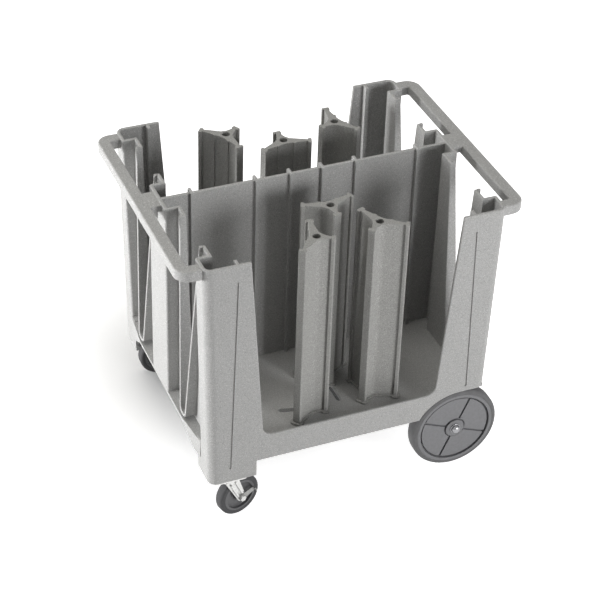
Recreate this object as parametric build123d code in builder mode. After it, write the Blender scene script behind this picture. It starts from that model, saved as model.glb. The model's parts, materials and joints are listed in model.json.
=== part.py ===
# Plate cart: a moulded body on two fixed wheels and two casters, with six plate towers in floor slots.
# Millimetres, +Z up. The origin lies on the ground under the cart's middle, +X points to the large wheels.
from build123d import *
import math
import os

os.makedirs("parts", exist_ok=True)

# Body moulding
body_length = 824.0
body_width = 712.0
body_top = 835.0
end_draft = 15.5
wall = 9.0
corner_radius = 24.0
floor_sink = 7.0
floor_thickness = 10.0
sill_rise = 23.0
skirt_depth = 57.0
edge_rounding = 3.5
recess_rounding = 6.0
top_rounding = 3.0
rib_rounding = 2.0
skirt_rounding = 3.0

# Corner posts beside the openings in the long sides
post_top_width = 124.0
post_foot_width = 165.0
side_opening_radius = 30.0

# Middle panels, recesses and windows in the ends
recess_depth = 34.0
recess_near = 64.0
recess_side_inset = 69.0
recess_ledge_drop = 4.0
window_top_inset = 43.0
window_top_width = 139.0
window_foot_inset = 97.0
window_foot_width = 30.0
window_foot_rise = 14.0
window_foot_flat = 4.0
rim_thickness = 8.0
rim_reach_top = 8.0
rim_reach_foot = 32.0
rim_rounding = 2.5
end_skirt_depth = 12.0
end_skirt_half = 178.0
end_skirt_drop = 53.0
apron_step = 3.0

# Middle wall and ribs
middle_wall_drop = 6.0
middle_rib_places = (45.0, 141.0, 320.0)
middle_rib_width = 8.0
middle_rib_depth = 10.0
post_rib_inset = 90.0
post_rib_width = 9.0
post_rib_depth = 19.0

# Shallow channels down the outside of the corner posts
channel_top_inset = 87.0
channel_foot_inset = 71.0
channel_drop = 50.0
channel_sill_rise = 5.0
channel_pod_rise = 45.0
channel_width = 7.0
channel_depth = 3.0
channel_rounding = 3.2

# Handles
handle_reach = 45.0
handle_side_inset = 33.0
handle_width = 34.0
handle_depth = 30.0
handle_edge_radius = 5.0
handle_bend = 21.0
handle_drop = 4.0
web_half_width = 36.0
web_thickness = 20.0
web_rounding = 4.0
gusset_drop = 60.0
gusset_reach = 32.0

# Fixed wheels and their axle
axle_inset = 89.0
wheel_diameter = 254.0
wheel_setback = 6.0
wheel_width = 42.0
tyre_thickness = 14.0
tyre_shoulder = 11.0
rim_ring_width = 9.0
rim_groove_width = 5.0
rim_groove_depth = 8.0
disc_setback = 3.0
disc_thickness = 13.0
hub_wall = 15.0
hub_overhang = 4.0
spoke_grooves = 4
spoke_groove_width = 6.0
spoke_groove_depth = 6.0
spoke_groove_phase = 67.0
hub_groove_width = 4.0
hub_groove_depth = 5.0
axle_diameter = 16.0
bush_wall = 4.0
axle_cap_wall = 7.0
axle_cap_grip = 8.0
axle_cap_crown = 6.0
axle_cap_rounding = 8.4
axle_washer_border = 9.0
axle_washer_thickness = 3.4
well_gap = 4.0
axle_block_width = 64.0
axle_block_length = 58.0

# Casters
caster_wheel_diameter = 125.0
caster_wheel_width = 32.0
caster_wheel_gap = 4.0
caster_trail = 30.0
caster_tyre_thickness = 14.0
caster_tyre_shoulder = 7.0
caster_rim_width = 7.0
caster_dish_depth = 8.0
caster_hub_wall = 11.0
caster_axle_diameter = 10.0
caster_plate_length = 92.0
caster_plate_width = 52.0
caster_plate_thickness = 3.5
caster_plate_rounding = 8.0
caster_bolt_end_edge = 10.0
caster_bolt_side_edge = 15.0
caster_bolt_diameter = 8.0
caster_end_margin = 14.5
caster_side_margin = 2.0
race_diameter = 52.0
race_width = 6.0
race_depth = 3.5
crown_thickness = 3.7
crown_length = 40.0
fork_thickness = 3.2
fork_side_gap = 2.0
fork_eye_wall = 8.0
kingpin_diameter = 12.0
kingpin_head_border = 5.0
kingpin_head_thickness = 3.0
pod_end_margin = 25.0
pod_side_margin = 38.0
pod_floor = 12.0
front_caster_heading = 15.0
back_caster_heading = 0.0

# Bolts and nuts, as shares of the thread's diameter, and how far a thread stands out of its nut
bolt_head_share = 0.65
nut_share = 0.8
hexagon_share = 0.8
thread_past_nut = 3.2

# Side brake lever on the front caster
brake_thickness = 3.0
brake_eye_wall = 5.0
brake_arm_length = 42.0
brake_arm_width = 13.0
brake_arm_angle = 20.0
brake_tab_length = 9.0

# Towers
tower_drop = 27.0
long_arm = 77.0
short_arm = 49.0
long_arm_angle = 69.0
tip_width = 22.0
tip_thickness = 10.0
tip_rounding = 3.0
neck_width = 10.0
throat = 19.0
crease_half = 8.0
face_rib_place = 24.0
face_rib_width = 7.0
face_rib_depth = 6.0
tower_edge_rounding = 1.5
foot_flare = 6.0
foot_thickness = 6.0
tower_wall = 5.5
core_arm_root = 18.0
core_arm_wall = 3.0
core_tip_wall = 17.0
tower_hole_gap = 2.0
tower_hole_depth = 30.0
bulkhead = 8.0
rod_diameter = 10.0
rod_head_border = 4.0
rod_head_thickness = 8.0
rod_socket_width = 8.0
rod_socket_depth = 5.0
slide_block_wall = 1.7
slide_block_length = 36.0
spigot_height = 13.0
knob_diameter = 44.0
knob_height = 22.0
knob_lobes = 6
knob_scallop_radius = 7.0
outer_slot_angle = 14.0

# Fits, how far a cut runs past a face, and how closely two places agree
running = 0.05
easy = 0.3
cut_over = 1.0
agreement = 0.02

# Body heights and faces worked out from the sizes above
side_face = body_width / 2
end_face = body_length / 2
floor_top = wheel_diameter - floor_sink
floor_bottom = floor_top - floor_thickness
sill_top = floor_top + sill_rise
skirt_bottom = floor_top - skirt_depth
caster_stack = caster_plate_thickness + race_depth + easy + crown_thickness
pod_bottom = caster_wheel_diameter + caster_wheel_gap + caster_stack
side_opening_top = body_length - 2 * post_top_width
side_opening_foot = body_length - 2 * post_foot_width
recess_back = end_face - recess_depth
recess_far = side_face - recess_side_inset
recess_ledge = floor_top - recess_ledge_drop
window_far_top = recess_far - window_top_inset
window_near_top = window_far_top - window_top_width
window_far_foot = recess_far - window_foot_inset
window_near_foot = window_far_foot - window_foot_width
window_foot = recess_ledge + window_foot_rise
window_radius = (window_foot_width - window_foot_flat) / 2
end_skirt_bottom = floor_top - end_skirt_depth
apron_bottom = end_skirt_bottom - end_skirt_drop
middle_wall_top = body_top - middle_wall_drop
post_rib_place = end_face - post_rib_inset
channel_top_place = end_face - channel_top_inset
channel_foot_place = end_face - channel_foot_inset
channel_top = body_top - channel_drop
channel_foot_front = sill_top + channel_sill_rise
channel_foot_pod = pod_bottom + channel_pod_rise
handle_center = end_face + handle_reach
handle_half_span = side_face - handle_side_inset

# Wheel, caster and tower places and radii worked out from the sizes above
axle_place = end_face - axle_inset
wheel_face = side_face - wheel_setback
wheel_radius = wheel_diameter / 2
rim_radius = wheel_radius - tyre_thickness
bush_radius = axle_diameter / 2 + bush_wall
hub_radius = bush_radius + hub_wall
hub_length = wheel_width + hub_overhang
axle_center = (axle_place, 0, wheel_radius)
axle_line = Axis(axle_center, (0, 1, 0))
well_radius = wheel_radius + well_gap
well_ceiling = wheel_radius + well_radius
well_inner = wheel_face - hub_length - axle_washer_thickness - 2 * easy
pod_length = caster_plate_length + caster_end_margin + pod_end_margin
pod_width = caster_plate_width + caster_side_margin + pod_side_margin
caster_place = end_face - end_draft - caster_end_margin - caster_plate_length / 2
caster_half_track = side_face - caster_side_margin - caster_plate_width / 2
caster_bolt_spacing_x = caster_plate_length - 2 * caster_bolt_end_edge
caster_bolt_spacing_y = caster_plate_width - 2 * caster_bolt_side_edge
caster_axle_height = caster_wheel_diameter / 2
caster_axle_center = (caster_trail, 0, caster_axle_height)
caster_core_radius = caster_wheel_diameter / 2 - caster_tyre_thickness
caster_hub_radius = caster_axle_diameter / 2 + caster_hub_wall
plate_bottom = pod_bottom - caster_plate_thickness
race_bottom = plate_bottom - race_depth
crown_top = race_bottom - easy
crown_bottom = crown_top - crown_thickness
fork_inner = caster_wheel_width / 2 + fork_side_gap
fork_outer = fork_inner + fork_thickness
fork_middle = (fork_inner + fork_outer) / 2
fork_eye_radius = caster_axle_diameter / 2 + fork_eye_wall
brake_eye_radius = caster_axle_diameter / 2 + brake_eye_wall
brake_seat = brake_thickness + 2 * easy
tower_top = body_top - tower_drop
tower_foot = floor_top + easy
tower_core_radius = throat - tower_wall
core_arm_end = neck_width - 2 * core_arm_wall
rod_head_radius = rod_diameter / 2 + rod_head_border
rod_seat = tower_top - tower_hole_depth
slot_width = rod_diameter + 2 * (slide_block_wall + easy)

# Each tower: name, long side it stands by, place along the cart, distance from that side's outer face,
# turn of its short arm, direction of its slot and ends of its slot
towers = (
    ("front_left", -1, -80.0, 90.0, 331.0, -outer_slot_angle, -85.0, 28.0),
    ("front_middle", -1, 9.0, 210.0, 271.0, 90.0, -117.0, 75.0),
    ("front_right", -1, 98.0, 97.0, 220.0, outer_slot_angle, -28.0, 85.0),
    ("back_left", 1, -123.0, 85.0, 31.0, outer_slot_angle, -85.0, 28.0),
    ("back_middle", 1, 13.0, 166.0, 92.0, 90.0, -110.0, 73.0),
    ("back_right", 1, 182.0, 121.0, 198.0, -outer_slot_angle, -65.0, 65.0),
)
tower_arms = ((-long_arm_angle, long_arm), (long_arm_angle, long_arm), (180.0, short_arm))


def save(part, name):
    """Labels a finished piece and writes it to its own file."""
    part.label = name
    export_step(part, f"parts/{name}.step")


def both_sides(part):
    """A piece and its copy on the other long side."""
    return [part, mirror(part, about=Plane.XZ, mode=Mode.PRIVATE)]


def both_ends(part):
    """A piece and its copy at the other end."""
    return [part, mirror(part, about=Plane.YZ, mode=Mode.PRIVATE)]


def four_corners(part):
    """A piece of the +X +Y corner and its copies at the other corners."""
    return [copy for end in both_ends(part) for copy in both_sides(end)]


# Body moulding

def near(value, target):
    """Whether two lengths agree to drawing accuracy."""
    return abs(value - target) < agreement


def borders_side_opening(edge, face):
    """Whether an edge lies round a long side's opening, on a face at a distance from the middle."""
    center = edge.center()
    inside = abs(center.X) < side_opening_top / 2 and sill_top - cut_over < center.Z < body_top - cut_over
    return inside and near(abs(center.Y), face)


def borders_recess(edge):
    """Whether an edge runs up a side of an end recess, on the outside."""
    center = edge.center()
    beside_recess = near(abs(center.Y), recess_near) or near(abs(center.Y), recess_far)
    up_recess = recess_ledge + cut_over < center.Z < body_top - cut_over
    return beside_recess and up_recess and abs(center.X) > half_length(center.Z) - cut_over


def borders_window(edge):
    """Whether an edge lies round an end window, on the inside of the cart."""
    center = edge.center()
    across_window = window_near_top - cut_over < abs(center.Y) < window_far_top + cut_over
    up_window = window_foot - cut_over < center.Z < body_top - cut_over
    return across_window and up_window and near(abs(center.X), recess_back - wall)


def borders_top(edge):
    """Whether an edge lies round the top of a post or of a rib."""
    return near(edge.center().Z, body_top)


def borders_middle_wall(edge):
    """Whether an edge lies along the top of the middle wall."""
    center = edge.center()
    return near(center.Z, middle_wall_top) and near(abs(center.Y), wall / 2)


def borders_skirt(edge):
    """Whether an edge lies along the lower border of a long side."""
    center = edge.center()
    below_sill = center.Z < sill_top - edge_rounding - cut_over
    return near(abs(center.Y), side_face) and below_sill and edge.length > corner_radius


def half_length(height):
    """Half the body's length over its drafted ends at a height."""
    return end_face - end_draft * (body_top - height) / (body_top - pod_bottom)


def drafted_block(low, high, inset, radius):
    """A block between two heights that follows the body's outer faces at an inset."""
    with BuildPart() as block:
        with BuildSketch(Plane.XZ):
            Polygon(
                (-half_length(low) + inset, low),
                (half_length(low) - inset, low),
                (half_length(high) - inset, high),
                (-half_length(high) + inset, high),
                align=None,
            )
        extrude(amount=side_face - inset, both=True)
        level = block.edges().filter_by(Plane.XY)
        fillet([edge for edge in block.edges() if edge not in level], radius)
    return block.part


def end_bay():
    """The thick corner block that an end recess is cut into."""
    with BuildPart() as bay:
        with BuildSketch(Plane.XZ.offset(-(recess_near - wall))):
            Polygon(
                (recess_back - wall, floor_bottom),
                (half_length(floor_bottom) - wall / 2, floor_bottom),
                (half_length(body_top) - wall / 2, body_top),
                (recess_back - wall, body_top),
                align=None,
            )
        extrude(amount=-(recess_far - recess_near + 2 * wall))
    return bay.part


def end_panel():
    """The upright panel in the middle of the +X end, on an apron that runs on under the recesses."""
    foot_face = half_length(pod_bottom)
    with BuildPart() as panel:
        with BuildSketch(Plane.XZ):
            Polygon(
                (half_length(end_skirt_bottom) - wall / 2, end_skirt_bottom),
                (end_face, end_skirt_bottom),
                (end_face, body_top),
                (half_length(body_top) - wall / 2, body_top),
                align=None,
            )
        extrude(amount=recess_near, both=True)
        with BuildSketch(Plane.XY.offset(apron_bottom)):
            Polygon(
                (foot_face - wall / 2, -recess_far),
                (foot_face + apron_step, -recess_far),
                (end_face, -end_skirt_half),
                (end_face, end_skirt_half),
                (foot_face + apron_step, recess_far),
                (foot_face - wall / 2, recess_far),
                align=None,
            )
        extrude(amount=recess_ledge - apron_bottom)
    return panel.part


def recess_cut():
    """The space of an end recess, open at the top."""
    with BuildPart() as space:
        with BuildSketch(Plane.YZ.offset(recess_back)):
            Polygon(
                (recess_near, recess_ledge),
                (recess_far, recess_ledge),
                (recess_far, body_top + cut_over),
                (recess_near, body_top + cut_over),
                align=None,
            )
        extrude(amount=recess_depth + cut_over)
    return space.part


def window_outline():
    """The tapered window in the back of an end recess."""
    with BuildSketch(Plane.YZ.offset(recess_back)) as outline:
        Polygon(
            (window_near_foot, window_foot),
            (window_far_foot, window_foot),
            (window_far_top, body_top + cut_over),
            (window_near_top, body_top + cut_over),
            align=None,
        )
        fillet(outline.vertices().sort_by(Axis.Y)[:2], window_radius)
    return outline.sketch


def window_cut():
    """The space of a window through the back of its recess."""
    with BuildPart() as space:
        extrude(window_outline(), amount=wall + cut_over, both=True)
    return space.part


def window_rim():
    """The flange round a window, deeper towards its foot."""
    window = window_outline()
    border = offset(window, amount=rim_thickness, mode=Mode.PRIVATE)
    with BuildPart() as rim:
        extrude(border, amount=recess_depth)
        extrude(window, amount=recess_depth + cut_over, mode=Mode.SUBTRACT)
        with BuildSketch(Plane.XZ):
            Polygon(
                (recess_back, recess_ledge),
                (recess_back + rim_reach_foot, recess_ledge),
                (recess_back + rim_reach_top, body_top),
                (recess_back, body_top),
                align=None,
            )
        extrude(amount=-side_face, mode=Mode.INTERSECT)
        slanted = rim.faces().sort_by(lambda face: face.center().X)[-1]
        fillet([edge for edge in slanted.edges() if edge.center().Z < body_top - cut_over], rim_rounding)
    return rim.part


def side_opening_cut():
    """The wide opening in the back long side, down to the sill."""
    with BuildPart() as space:
        with BuildSketch(Plane.XZ.offset(-(side_face + cut_over))) as outline:
            Polygon(
                (-side_opening_foot / 2, sill_top),
                (side_opening_foot / 2, sill_top),
                (side_opening_top / 2, body_top + cut_over),
                (-side_opening_top / 2, body_top + cut_over),
                align=None,
            )
            fillet(outline.vertices().sort_by(Axis.Y)[:2], side_opening_radius)
        extrude(amount=wall + 2 * cut_over)
    return space.part


def post_channel(end, foot):
    """The shallow channel down a corner post's outside, on the back long side."""
    share = (channel_top - foot) / (channel_top - channel_foot_pod)
    foot_place = channel_top_place + (channel_foot_place - channel_top_place) * share
    with BuildPart() as channel:
        with BuildSketch(Plane.XZ.offset(-(side_face + cut_over))) as outline:
            Polygon(
                (end * foot_place - channel_width / 2, foot),
                (end * foot_place + channel_width / 2, foot),
                (end * channel_top_place + channel_width / 2, channel_top),
                (end * channel_top_place - channel_width / 2, channel_top),
                align=None,
            )
            fillet(outline.vertices(), channel_rounding)
        extrude(amount=channel_depth + cut_over)
    return channel.part


def handle():
    """The bar, legs and web of the handle at the +X end."""
    height = body_top - handle_drop - handle_depth / 2
    root = half_length(body_top) - wall / 2
    web_middle = body_top - handle_drop - web_thickness / 2
    with BuildPart() as web:
        with Locations(((root + handle_center) / 2, 0, web_middle)):
            Box(handle_center - root, 2 * web_half_width, web_thickness)
        fillet(web.edges().filter_by(Axis.X), web_rounding)
    with BuildPart() as bar:
        with BuildLine():
            route = FilletPolyline(
                (root, handle_half_span, height),
                (handle_center, handle_half_span, height),
                (handle_center, -handle_half_span, height),
                (root, -handle_half_span, height),
                radius=handle_bend,
            )
        with BuildSketch(Plane(origin=route @ 0, x_dir=(0, 1, 0), z_dir=(1, 0, 0))):
            RectangleRounded(handle_width, handle_depth, handle_edge_radius)
        sweep()
        add(web)
        with BuildSketch(Plane.XZ):
            Polygon(
                (root, web_middle),
                (root + gusset_reach, web_middle),
                (root, web_middle - gusset_drop),
                align=None,
            )
        extrude(amount=wall / 2, both=True)
    return bar.part


def middle_wall():
    """The wall down the middle of the cart, with ribs that stand a little above it."""
    with BuildPart() as panel:
        with BuildSketch(Plane.XZ):
            Polygon(
                (-half_length(floor_bottom) + wall / 2, floor_bottom),
                (half_length(floor_bottom) - wall / 2, floor_bottom),
                (half_length(middle_wall_top) - wall / 2, middle_wall_top),
                (-half_length(middle_wall_top) + wall / 2, middle_wall_top),
                align=None,
            )
        extrude(amount=wall / 2, both=True)
        rib_height = body_top - floor_bottom
        for place in middle_rib_places:
            with Locations((-place, 0, floor_bottom), (place, 0, floor_bottom)):
                Box(
                    middle_rib_width,
                    wall + 2 * middle_rib_depth,
                    rib_height,
                    align=(Align.CENTER, Align.CENTER, Align.MIN),
                )
    return panel.part


def post_rib():
    """The upright rib inside a corner post's long-side wall."""
    with BuildPart() as rib:
        with Locations((post_rib_place, side_face - wall / 2, floor_bottom)):
            Box(
                post_rib_width,
                post_rib_depth + wall / 2,
                body_top - floor_bottom,
                align=(Align.CENTER, Align.MAX, Align.MIN),
            )
    return rib.part


def pod():
    """A caster pod: the body's back corner carried down, hollow and open towards the middle."""
    inner_end = -half_length(pod_bottom) + pod_length
    corner = drafted_block(pod_bottom, floor_top, 0, corner_radius)
    with BuildPart() as block:
        add(corner)
        with Locations((inner_end, side_face - pod_width, pod_bottom)):
            Box(
                body_length,
                body_width,
                body_top,
                align=(Align.MAX, Align.MIN, Align.MIN),
                mode=Mode.INTERSECT,
            )
        with Locations((inner_end - wall, side_face - wall, pod_bottom + pod_floor)):
            Box(
                pod_length - 2 * wall,
                pod_width,
                floor_bottom - pod_bottom - pod_floor,
                align=(Align.MAX, Align.MAX, Align.MIN),
                mode=Mode.SUBTRACT,
            )
        with Locations((-caster_place, caster_half_track, pod_bottom)):
            with GridLocations(caster_bolt_spacing_x, caster_bolt_spacing_y, 2, 2):
                Cylinder(
                    caster_bolt_diameter / 2 + running,
                    2 * pod_floor + cut_over,
                    mode=Mode.SUBTRACT,
                )
            Cylinder(kingpin_diameter / 2 + easy, 2 * pod_floor + cut_over, mode=Mode.SUBTRACT)
    return block.part


def wheel_arch(radius, ceiling, tail):
    """Side view of the space over a wheel: round in front of the axle, flat behind it."""
    with BuildSketch(Plane.XZ) as outline:
        with Locations((axle_place, wheel_radius)):
            Circle(radius)
        Polygon(
            (axle_place, wheel_radius - radius),
            (tail, wheel_radius - radius),
            (tail, ceiling),
            (axle_place, ceiling),
            align=None,
        )
    return outline.sketch


def wheel_well():
    """The housing over the back wheel, above the underside of the floor."""
    tail = half_length(floor_bottom) - wall / 2
    outer = side_face - wall / 2
    arch = wheel_arch(well_radius + wall, well_ceiling + wall, tail).moved(Location((0, outer, 0)))
    with BuildPart() as housing:
        extrude(arch, amount=outer - well_inner + wall)
        with Locations((0, 0, floor_bottom)):
            Box(
                2 * body_length,
                2 * body_width,
                body_top,
                align=(Align.CENTER, Align.CENTER, Align.MIN),
                mode=Mode.INTERSECT,
            )
    return housing.part


def wheel_space():
    """The space that the back wheel turns in, open to the side and to the end."""
    outer = side_face + cut_over
    arch = wheel_arch(well_radius, well_ceiling, body_length).moved(Location((0, outer, 0)))
    with BuildPart() as space:
        extrude(arch, amount=outer - well_inner)
    return space.part


def axle_block():
    """The block under the floor that carries the axle beside the back wheel."""
    with BuildPart() as block:
        with BuildSketch(Plane.XZ.offset(-well_inner)):
            with Locations((axle_place, wheel_radius)):
                Circle(axle_block_width / 2)
            with Locations((axle_place, wheel_radius)):
                Rectangle(axle_block_width, floor_bottom - wheel_radius, align=(Align.CENTER, Align.MIN))
        extrude(amount=axle_block_length)
        with BuildSketch(Plane.XZ.offset(-(well_inner + cut_over))):
            with Locations((axle_place, wheel_radius)):
                Circle(axle_diameter / 2 + running)
        extrude(amount=axle_block_length + 2 * cut_over, mode=Mode.SUBTRACT)
    return block.part


def end_skirt_cut():
    """What is cut away under the caster end, between the pods."""
    pod_side = side_face - pod_width
    with BuildPart() as space:
        with BuildSketch(Plane.YZ.offset(-end_face - cut_over)):
            Polygon(
                (-pod_side, pod_bottom - cut_over),
                (pod_side, pod_bottom - cut_over),
                (pod_side, apron_bottom),
                (end_skirt_half, end_skirt_bottom),
                (-end_skirt_half, end_skirt_bottom),
                (-pod_side, apron_bottom),
                align=None,
            )
        extrude(amount=end_draft + 2 * wall)
    return space.part


def slots():
    """The six slots in the floor that the towers slide in."""
    with BuildPart() as spaces:
        for _, side, x, inset, _, direction, first_end, last_end in towers:
            place = Vector(x, side * (side_face - inset))
            middle = place + Vector(1, 0).rotate(Axis.Z, direction) * (first_end + last_end) / 2
            with BuildSketch(Plane.XY.offset(floor_bottom - cut_over)):
                with Locations(middle):
                    SlotOverall(last_end - first_end, slot_width, rotation=direction)
            extrude(amount=floor_thickness + 2 * cut_over)
    return spaces.part


shell = drafted_block(pod_bottom, body_top, 0, corner_radius)
cavity = drafted_block(floor_top, body_top + cut_over, wall, corner_radius - wall)
underside = drafted_block(pod_bottom - cut_over, floor_bottom, wall, corner_radius - wall)
bays = four_corners(end_bay())
panels = both_ends(end_panel())
recesses = four_corners(recess_cut())
windows = four_corners(window_cut())
rims = four_corners(window_rim())
partition = middle_wall()
post_ribs = four_corners(post_rib())
side_openings = both_sides(side_opening_cut())
pods = both_sides(pod())
end_gap = end_skirt_cut()
wells = both_sides(wheel_well())
wheel_spaces = both_sides(wheel_space())
axle_blocks = both_sides(axle_block())
handles = both_ends(handle())
floor_slots = slots()
front_channels = both_sides(post_channel(1, channel_foot_front))
pod_channels = both_sides(post_channel(-1, channel_foot_pod))

with BuildPart() as cart_body:
    add(shell)
    add(cavity, mode=Mode.SUBTRACT)
    add(underside, mode=Mode.SUBTRACT)
    add(panels)
    with Locations((0, 0, skirt_bottom)):
        Box(
            2 * body_length,
            2 * body_width,
            body_top,
            align=(Align.CENTER, Align.CENTER, Align.MAX),
            mode=Mode.SUBTRACT,
        )
    with Locations((end_face, 0, end_skirt_bottom)):
        Box(
            end_face,
            2 * well_inner,
            body_top,
            align=(Align.CENTER, Align.CENTER, Align.MAX),
            mode=Mode.SUBTRACT,
        )
    add(bays)
    add(recesses, mode=Mode.SUBTRACT)
    add(windows, mode=Mode.SUBTRACT)
    add(partition)
    add(post_ribs)
    add(side_openings, mode=Mode.SUBTRACT)
    for face in (side_face, side_face - wall):
        fillet([edge for edge in cart_body.edges() if borders_side_opening(edge, face)], edge_rounding)
    fillet([edge for edge in cart_body.edges() if borders_recess(edge)], recess_rounding)
    fillet([edge for edge in cart_body.edges() if borders_window(edge)], top_rounding)
    ribs_and_posts = [edge for edge in cart_body.edges() if borders_top(edge)]
    fillet(ribs_and_posts, top_rounding)
    fillet([edge for edge in cart_body.edges() if borders_middle_wall(edge)], rib_rounding)
    add(rims)
    add(pods)
    add(end_gap, mode=Mode.SUBTRACT)
    add(wells)
    add(wheel_spaces, mode=Mode.SUBTRACT)
    fillet([edge for edge in cart_body.edges() if borders_skirt(edge)], skirt_rounding)
    add(axle_blocks)
    add(handles)
    add(floor_slots, mode=Mode.SUBTRACT)
    add(front_channels, mode=Mode.SUBTRACT)
    add(pod_channels, mode=Mode.SUBTRACT)
save(cart_body.part, "cart_body")


# Fixed wheels, on the front long side, and their axle

def across(radius, inner, outer):
    """A round bar along the axle on the front side, between two distances from the cart's middle."""
    with BuildPart() as bar:
        with BuildSketch(Plane.XZ.offset(inner)):
            with Locations((axle_place, wheel_radius)):
                Circle(radius)
        extrude(amount=outer - inner)
    return bar.part


def wheel_profile(points):
    """Turns a half section, given as radius and distance from the cart's middle, into a wheel part."""
    with BuildPart() as turned:
        with BuildSketch(Plane(axle_center)):
            Polygon(*[(radius, -place) for radius, place in points], align=None)
        revolve(axis=axle_line)
    return turned.part


def wheel_disc():
    """Disc, hub and rim of the front wheel, with ring grooves and radial grooves in its face."""
    disc_face = wheel_face - disc_setback
    disc_back = disc_face - disc_thickness
    ring_inner = rim_radius - rim_ring_width
    groove_inner = ring_inner - rim_groove_width
    disc = wheel_profile(
        (
            (bush_radius + running, wheel_face - hub_length),
            (hub_radius, wheel_face - hub_length),
            (hub_radius, disc_back),
            (ring_inner, disc_back),
            (ring_inner, wheel_face - wheel_width),
            (rim_radius, wheel_face - wheel_width),
            (rim_radius, wheel_face),
            (ring_inner, wheel_face),
            (ring_inner, disc_face - rim_groove_depth),
            (groove_inner, disc_face - rim_groove_depth),
            (groove_inner, disc_face),
            (hub_radius + hub_groove_width, disc_face),
            (hub_radius + hub_groove_width, disc_face - hub_groove_depth),
            (hub_radius, disc_face - hub_groove_depth),
            (hub_radius, wheel_face),
            (bush_radius + running, wheel_face),
        )
    )
    with BuildPart() as grooved:
        add(disc)
        with BuildSketch(Plane.XZ.offset(disc_face + cut_over)):
            with Locations((axle_place, wheel_radius)):
                with PolarLocations((hub_radius + groove_inner) / 2, spoke_grooves, spoke_groove_phase):
                    Rectangle(groove_inner - hub_radius, spoke_groove_width)
        extrude(amount=-(spoke_groove_depth + cut_over), mode=Mode.SUBTRACT)
    return grooved.part


def wheel_tyre():
    """Tyre of the front wheel, with rounded shoulders."""
    seat = rim_radius + running
    with BuildPart() as tyre:
        with BuildSketch(Plane(axle_center)) as section:
            with Locations(((seat + wheel_radius) / 2, -(wheel_face - wheel_width / 2))):
                Rectangle(wheel_radius - seat, wheel_width)
            fillet(section.vertices().sort_by(Axis.X)[-2:], tyre_shoulder)
        revolve(axis=axle_line)
    return tyre.part


def wheel_bush():
    """Bush in the front wheel's hub."""
    sleeve = across(bush_radius, wheel_face - hub_length, wheel_face)
    bore = across(axle_diameter / 2 + running, wheel_face - hub_length - cut_over, wheel_face + cut_over)
    with BuildPart() as bush:
        add(sleeve)
        add(bore, mode=Mode.SUBTRACT)
    return bush.part


def axle_washer():
    """Washer between the front axle block and the wheel's hub."""
    inner = well_inner + easy
    ring = across(axle_diameter / 2 + axle_washer_border, inner, inner + axle_washer_thickness)
    bore = across(axle_diameter / 2 + running, inner - cut_over, inner + axle_washer_thickness + cut_over)
    with BuildPart() as washer:
        add(ring)
        add(bore, mode=Mode.SUBTRACT)
    return washer.part


def axle_cap():
    """Domed cap pressed on the front end of the axle."""
    inner = wheel_face + easy
    dome = across(axle_diameter / 2 + axle_cap_wall, inner, inner + axle_cap_grip + axle_cap_crown)
    bore = across(axle_diameter / 2 + running, inner - cut_over, inner + axle_cap_grip)
    with BuildPart() as cap:
        add(dome)
        fillet(cap.faces().sort_by(Axis.Y)[0].edges(), axle_cap_rounding)
        add(bore, mode=Mode.SUBTRACT)
    return cap.part


axle_end = wheel_face + easy + axle_cap_grip - running
save(across(axle_diameter / 2, -axle_end, axle_end), "rear_axle")
wheel_pieces = (("wheel_disc", wheel_disc()), ("wheel_tyre", wheel_tyre()), ("wheel_bush", wheel_bush()))
for name, piece in wheel_pieces:
    for copy, side in zip(both_sides(piece), ("front", "back")):
        save(copy, f"{name}_{side}")
save(Compound(children=both_sides(axle_washer())), "axle_washers")
save(Compound(children=both_sides(axle_cap())), "axle_caps")


# Casters, made with the swivel axis at X = 0, Y = 0 and the wheel trailing towards +X, then turned

def caster_plate():
    """Top plate with the fixed race of the swivel under it."""
    with BuildPart() as plate:
        with BuildSketch(Plane.XY.offset(plate_bottom)):
            RectangleRounded(caster_plate_length, caster_plate_width, caster_plate_rounding)
            with GridLocations(caster_bolt_spacing_x, caster_bolt_spacing_y, 2, 2):
                Circle(caster_bolt_diameter / 2 + running, mode=Mode.SUBTRACT)
        extrude(amount=caster_plate_thickness)
        with BuildSketch(Plane.XY.offset(race_bottom)):
            Circle(race_diameter / 2)
            Circle(race_diameter / 2 - race_width, mode=Mode.SUBTRACT)
        extrude(amount=race_depth)
        with BuildSketch(Plane.XY.offset(plate_bottom - cut_over)):
            Circle(kingpin_diameter / 2 + running)
        extrude(amount=caster_plate_thickness + 2 * cut_over, mode=Mode.SUBTRACT)
    return plate.part


def caster_bolts():
    """Four bolts from below through the top plate, with nuts inside the pod."""
    head = caster_bolt_diameter * bolt_head_share
    nut_height = caster_bolt_diameter * nut_share
    hexagon_radius = caster_bolt_diameter * hexagon_share
    nut_seat = pod_bottom + pod_floor
    pattern = GridLocations(caster_bolt_spacing_x, caster_bolt_spacing_y, 2, 2)
    with BuildPart() as bolts:
        with BuildSketch(Plane.XY.offset(plate_bottom - head)):
            with pattern:
                RegularPolygon(hexagon_radius, 6, major_radius=False)
        extrude(amount=head)
        with BuildSketch(Plane.XY.offset(plate_bottom)):
            with pattern:
                Circle(caster_bolt_diameter / 2)
        extrude(amount=nut_seat + nut_height + thread_past_nut - plate_bottom)
    with BuildPart() as nuts:
        with BuildSketch(Plane.XY.offset(nut_seat)):
            with pattern:
                RegularPolygon(hexagon_radius, 6, major_radius=False)
                Circle(caster_bolt_diameter / 2 + running, mode=Mode.SUBTRACT)
        extrude(amount=nut_height)
    return Compound(children=[bolts.part, nuts.part])


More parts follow.
